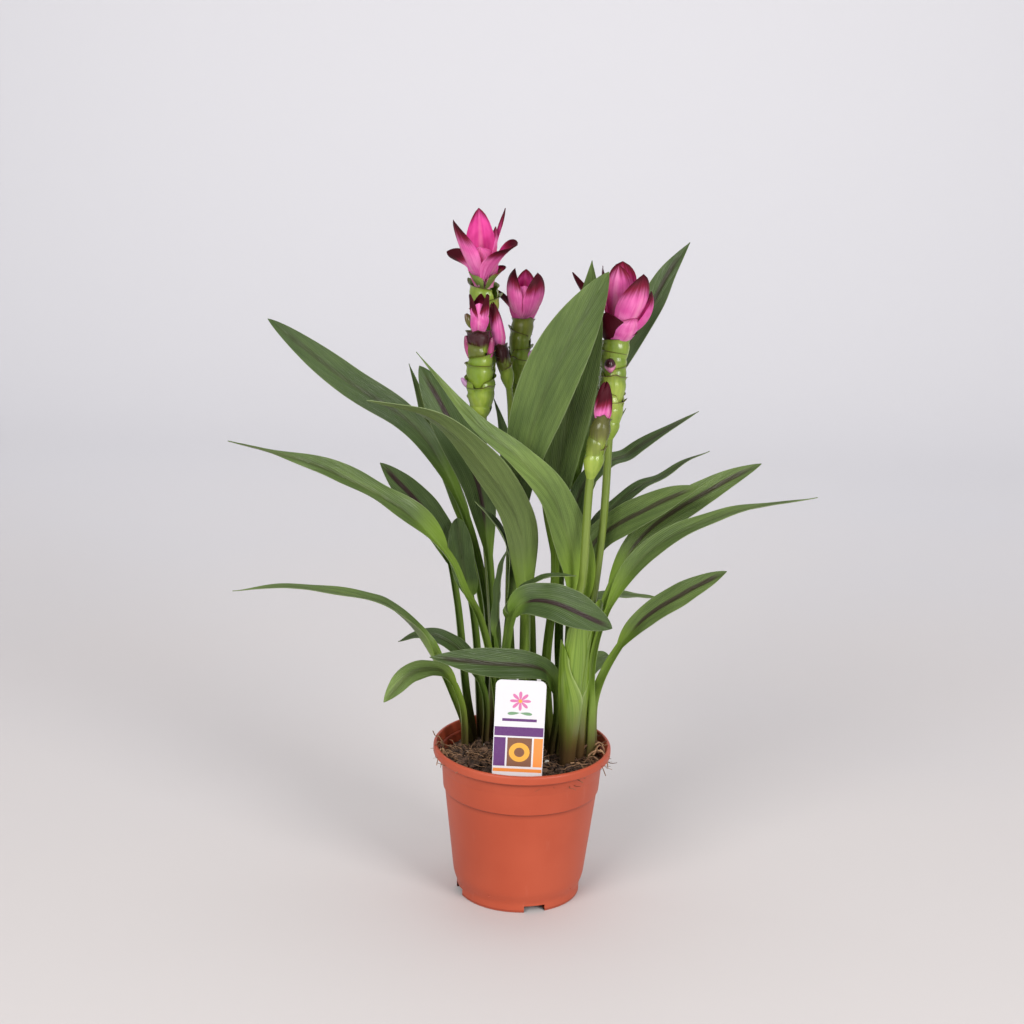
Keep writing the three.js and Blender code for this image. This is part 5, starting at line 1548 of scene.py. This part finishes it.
def turned_mesh(outline):
    turn = full_turn(POT_SEGMENTS)
    points, faces = [(0, 0, outline[0][1] * MM)], []
    for r, z in outline[1:-1]:
        points.extend((r * MM * math.cos(a), r * MM * math.sin(a), z * MM) for a in turn)
    points.append((0, 0, outline[-1][1] * MM))
    last = len(points) - 1
    rows = len(outline) - 2
    for s in range(POT_SEGMENTS):
        t = (s + 1) % POT_SEGMENTS
        faces.append((0, 1 + t, 1 + s))
        for row in range(rows - 1):
            a, b = 1 + row * POT_SEGMENTS, 1 + (row + 1) * POT_SEGMENTS
            faces.append((a + s, a + t, b + t, b + s))
        top = 1 + (rows - 1) * POT_SEGMENTS
        faces.append((top + s, top + t, last))
    mesh = bpy.data.meshes.new("pot_wall")
    mesh.from_pydata(points, [], faces)
    return mesh


# %% Cutters
NOTCHES, FIRST_NOTCH_TURN, NOTCH_OUT, NOTCH_BOX = 4, -73.5, 50.4, (14, 18, 12)
DRAINS, DRAIN_OUT, DRAIN_RADIUS, DRAIN_LENGTH = 8, 37, 4, 24
DIMPLE_TURNS, DIMPLE_OUT, DIMPLE_RADIUS, DIMPLE_HEIGHT = (-116, -35), 54.9, 1.5, 13


def notch_box(shape):
    size = Matrix.Diagonal((*(side * MM for side in NOTCH_BOX), 1))
    bmesh.ops.create_cube(shape, size=1, matrix=size)


def drain_plug(shape):
    radius = DRAIN_RADIUS * MM
    bmesh.ops.create_cone(shape, cap_ends=True, segments=24, radius1=radius, radius2=radius,
                          depth=DRAIN_LENGTH * MM)


def dimple_ball(shape):
    raised = Matrix.Translation((0, 0, DIMPLE_HEIGHT * MM))
    bmesh.ops.create_icosphere(shape, subdivisions=2, radius=DIMPLE_RADIUS * MM, matrix=raised)


def cutter(name, build, turn, out):
    """Builds a shape to cut with, moves it out from the axis, and turns it round the pot."""
    mesh = bpy.data.meshes.new(name)
    shape = bmesh.new()
    build(shape)
    shape.to_mesh(mesh)
    shape.free()
    tool = bpy.data.objects.new(name, mesh)
    tool.matrix_world = Matrix.Rotation(math.radians(turn), 4, "Z") @ Matrix.Translation((out * MM, 0, 0))
    bpy.context.scene.collection.objects.link(tool)
    return tool


# %% The whole pot
POT_SHARP_ANGLE = math.radians(34)


def pot_object():
    pot = bpy.data.objects.new("nursery_pot", turned_mesh(round_corners(POT_OUTLINE, CORNER_RADII)))
    bpy.context.scene.collection.objects.link(pot)
    tools = [cutter("notch", notch_box, FIRST_NOTCH_TURN + 90 * k, NOTCH_OUT) for k in range(NOTCHES)]
    tools += [cutter("drain", drain_plug, 45 * (k + 0.5), DRAIN_OUT) for k in range(DRAINS)]
    tools += [cutter("dimple", dimple_ball, turn, DIMPLE_OUT) for turn in DIMPLE_TURNS]
    for tool in tools:
        cut = pot.modifiers.new("cut", "BOOLEAN")
        cut.operation = "DIFFERENCE"
        cut.object = tool
        cut.solver = "FAST"
    bpy.context.view_layer.update()
    done = pot.evaluated_get(bpy.context.evaluated_depsgraph_get())
    mesh = bpy.data.meshes.new_from_object(done)
    pot.modifiers.clear()
    pot.data = mesh
    for tool in tools:
        bpy.data.objects.remove(tool)
    mesh.shade_smooth()
    mesh.set_sharp_from_angle(angle=POT_SHARP_ANGLE)
    return pot


# %% [markdown]
# ### The finish of the pot
#
# The plastic is an even terracotta orange with a dull shine. A little dust and a few small scuffs
# keep it from looking like paint, and a thin band of painted shade lies under the rim, under the
# collar and at the foot.

# %% Terracotta-coloured plastic
# The lowest and highest height of each band of painted shade, in metres, and how dark it is
PAINTED_SHADE_BANDS = ((0.0895, 0.0944, 0.55), (0.1195, 0.1250, 0.60), (0.0, 0.0022, 0.5))
PAINTED_SHADE_EDGE = 0.0002


def pot_finish():
    f = Recipe("terracotta plastic")
    where = f.place()
    cloud = f.noise(where, 14, 3)
    grain = f.noise(where, 900, 2)
    dust = f.noise(f.place((1, 1, 0.35)), 70, 4, 0.6)
    clay = f.blend(f.between(cloud, 0.35, 0.65), (0.400, 0.064, 0.026), (0.445, 0.078, 0.034))
    clay = f.blend(f.between(dust, 0.62, 0.78, 0, 0.10), clay, (0.60, 0.28, 0.20))
    scuffs = f.cells(f.place((1, 1, 2.2)), 42)
    near = f.between(scuffs, 0.0, 0.045, 1.0, 0.0)
    few = f.between(f.noise(where, 21, 1), 0.58, 0.66)
    clay = f.blend(f.times(f.times(near, few), 0.25), clay, (0.22, 0.06, 0.035))
    height = f.axis("Z")
    # Painted shade: a thin dark band under the rim, under the collar and round the foot
    for low, high, depth in PAINTED_SHADE_BANDS:
        painted_shade = f.times(f.between(height, low, high), f.between(height, high, high + PAINTED_SHADE_EDGE, 1.0, 0.0))
        clay = f.blend(f.times(painted_shade, depth), clay, (0.16, 0.022, 0.010))
    rough = f.blend(f.between(cloud, 0.3, 0.7), (0.42,) * 3, (0.50,) * 3)
    normal = f.bump(grain, 0.00006)
    return f.finish(base_color=clay, roughness=rough, normal=normal, specular_ior_level=0.35)


pot = pot_object()
pot.data.materials.clear()
pot.data.materials.append(pot_finish())
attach(pot, "root")
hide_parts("pot")
tell("pot", [pot])

# %% [markdown]
# ## The tag
#
# The tag is a thin card with round corners and a tapered tongue that is stuck in the soil. Its
# front carries a plain layout of colour fields and a simple tuft of petals. Each field is a
# flat shape that lies a hair in front of the card, so its edges stay crisp at any distance.

# %% Card outline
CARD = dict(width=41, top=212, shoulder=127, tip=84, thick=0.8, corner=5,
            x=-4.2, y=-58.5, lean=2.5, roll=0.9)
CARD_FRONT = CARD["thick"] / 2
ARC_POINTS = 9


def card_outline():
    """A tapered tongue, straight sides, and two round corners on top."""
    half, top, corner = CARD["width"] / 2, CARD["top"], CARD["corner"]
    shoulder, tip = CARD["shoulder"], CARD["tip"]
    side = [(0, tip), (half * 0.45, tip + 12), (half * 0.62, shoulder - 8), (half, shoulder)]
    arc = [(half - corner + corner * math.cos(a), top - corner + corner * math.sin(a))
           for a in np.linspace(0, math.pi / 2, ARC_POINTS)]
    right = side + arc
    return right + [(-x, z) for x, z in right[:0:-1]]


def card_place(x, z, lift):
    """From the card's own sheet to the plant: leaned back, rolled a little, and moved."""
    spot = Vector((x, -lift, z - CARD["tip"]))
    lean = Matrix.Rotation(math.radians(CARD["lean"]), 3, "X")
    roll = Matrix.Rotation(math.radians(CARD["roll"]), 3, "Y")
    return tuple(roll @ (lean @ spot) + Vector((CARD["x"], CARD["y"], CARD["tip"])))


# %% Flat shapes
PETAL_POINTS, DISC_POINTS = 20, 28


def add_flat(heap, outline, front, back, slot):
    """Adds a flat shape with straight sides, from its outline and its two depths."""
    count = len(outline)
    points = [card_place(x, z, front) for x, z in outline] + [card_place(x, z, back) for x, z in outline]
    faces = [tuple(range(count)), tuple(range(2 * count - 1, count - 1, -1))]
    for k in range(count):
        m = (k + 1) % count
        faces.append((m, k, k + count, m + count))
    heap.add(points, faces, slot)


def oblong(left, bottom, right, top):
    return [(left, bottom), (right, bottom), (right, top), (left, top)]


def petal(x, z, length, width, turn):
    """A pointed drop that stands on its narrow end."""
    lean = math.radians(turn)
    shape = []
    for k in range(PETAL_POINTS):
        a = 2 * math.pi * k / PETAL_POINTS
        along = length * (0.5 - 0.5 * math.cos(a))
        aside = width / 2 * math.sin(a) * math.sin(a / 2)
        shape.append((x + along * math.sin(lean) + aside * math.cos(lean),
                      z + along * math.cos(lean) - aside * math.sin(lean)))
    return shape


def disc(x, z, radius):
    return [(x + radius * math.cos(a), z + radius * math.sin(a)) for a in full_turn(DISC_POINTS)]


# %% Inks and fields
INKS = {"white": (0.70, 0.69, 0.71), "purple": (0.105, 0.022, 0.150), "orange": (0.80, 0.26, 0.045),
        "brown": (0.19, 0.075, 0.035), "amber": (0.78, 0.38, 0.04), "pink": (0.62, 0.16, 0.36),
        "green": (0.16, 0.30, 0.16)}
PROUD_INK, LAYER, INK_DEPTH = 0.06, 0.05, 0.2
MARGIN = 0.6
FIELD_LOW, FIELD_HIGH = 136, 161.5
TUFT_HEIGHT, TUFT_PETALS = 194, 8


def paper_finish(name, colour):
    f = Recipe(name)
    grain = f.noise(f.place(), 700, 2)
    tint = f.blend(f.times(grain, 0.08), colour, (0.5, 0.5, 0.5))
    return f.finish(base_color=tint, roughness=0.32, specular_ior_level=0.4)


def tag_heap():
    half = CARD["width"] / 2
    left, right = -half + MARGIN, half - MARGIN
    heap = Heap()

    def ink(name, shape, layer=0):
        """Lays a colour field on the card, a hair further out for each layer."""
        front = CARD_FRONT + PROUD_INK + LAYER * layer
        add_flat(heap, shape, front, CARD_FRONT - INK_DEPTH, list(INKS).index(name))

    add_flat(heap, card_outline(), CARD_FRONT, -CARD_FRONT, list(INKS).index("white"))
    ink("purple", oblong(left, 163, right, 171))
    ink("purple", oblong(left, FIELD_LOW, -half + 10, FIELD_HIGH))
    ink("orange", oblong(half - 8, FIELD_LOW, right, FIELD_HIGH))
    ink("orange", oblong(left, 131, right, 134))
    ink("brown", oblong(-half + 11.5, FIELD_LOW, half - 9.5, FIELD_HIGH))
    ink("amber", disc(1, 148.7, 8.5), 1)
    ink("brown", disc(1, 148.7, 4.2), 2)
    ink("purple", oblong(-14, 176, 14, 178.4))
    for k in range(TUFT_PETALS):
        ink("pink", petal(0, TUFT_HEIGHT, 8.5, 3.4, 45 * k), k % 2)
    ink("amber", disc(0, TUFT_HEIGHT, 1.6), 2)
    for turn in (-95, 95):
        ink("green", petal(0, 183.5, 10, 3.6, turn))
    return heap


CARD_FINISHES = [paper_finish(f"card {name}", colour) for name, colour in INKS.items()]
tell("tag", [make_piece("card_tag", tag_heap(), CARD_FINISHES, ["label"])])

# %% [markdown]
# ## The rhizomes
#
# Leaves and flowers grow from rhizomes, thick stems that creep under the soil. They lie out of
# sight, so the measured solids serve as they are and only get a skin of their own.

# %% Rhizomes
def root_finish():
    f = Recipe("rhizome skin")
    where = f.place()
    patches = f.noise(where, 120, 4)
    rings = f.noise(f.place((1, 1, 4)), 260, 2)
    colour = f.blend(patches, (0.26, 0.17, 0.085), (0.50, 0.36, 0.19))
    colour = f.blend(f.between(rings, 0.55, 0.7, 0, 0.5), colour, (0.13, 0.08, 0.045))
    return f.finish(base_color=colour, roughness=0.75, normal=f.bump(rings, 0.0006))


ROOT_FINISH = root_finish()
RHIZOMES = ("rhizome_left", "rhizome_middle", "rhizome_right")
for name in RHIZOMES:
    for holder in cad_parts[name].material_slots:
        holder.material = ROOT_FINISH
print("rhizomes with a skin:", len(RHIZOMES))

# %% [markdown]
# ## The size
#
# The dressed plant has to stay as large as the measured one. Both boxes are written down, in
# metres, so that they can be compared at a glance.

# %% Print both boxes
dressed_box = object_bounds()
boxes = {"cad": [list(corner) for corner in cad_box], "scene": [list(corner) for corner in dressed_box]}
for title, box in boxes.items():
    print(title, "box", box_corners(box))
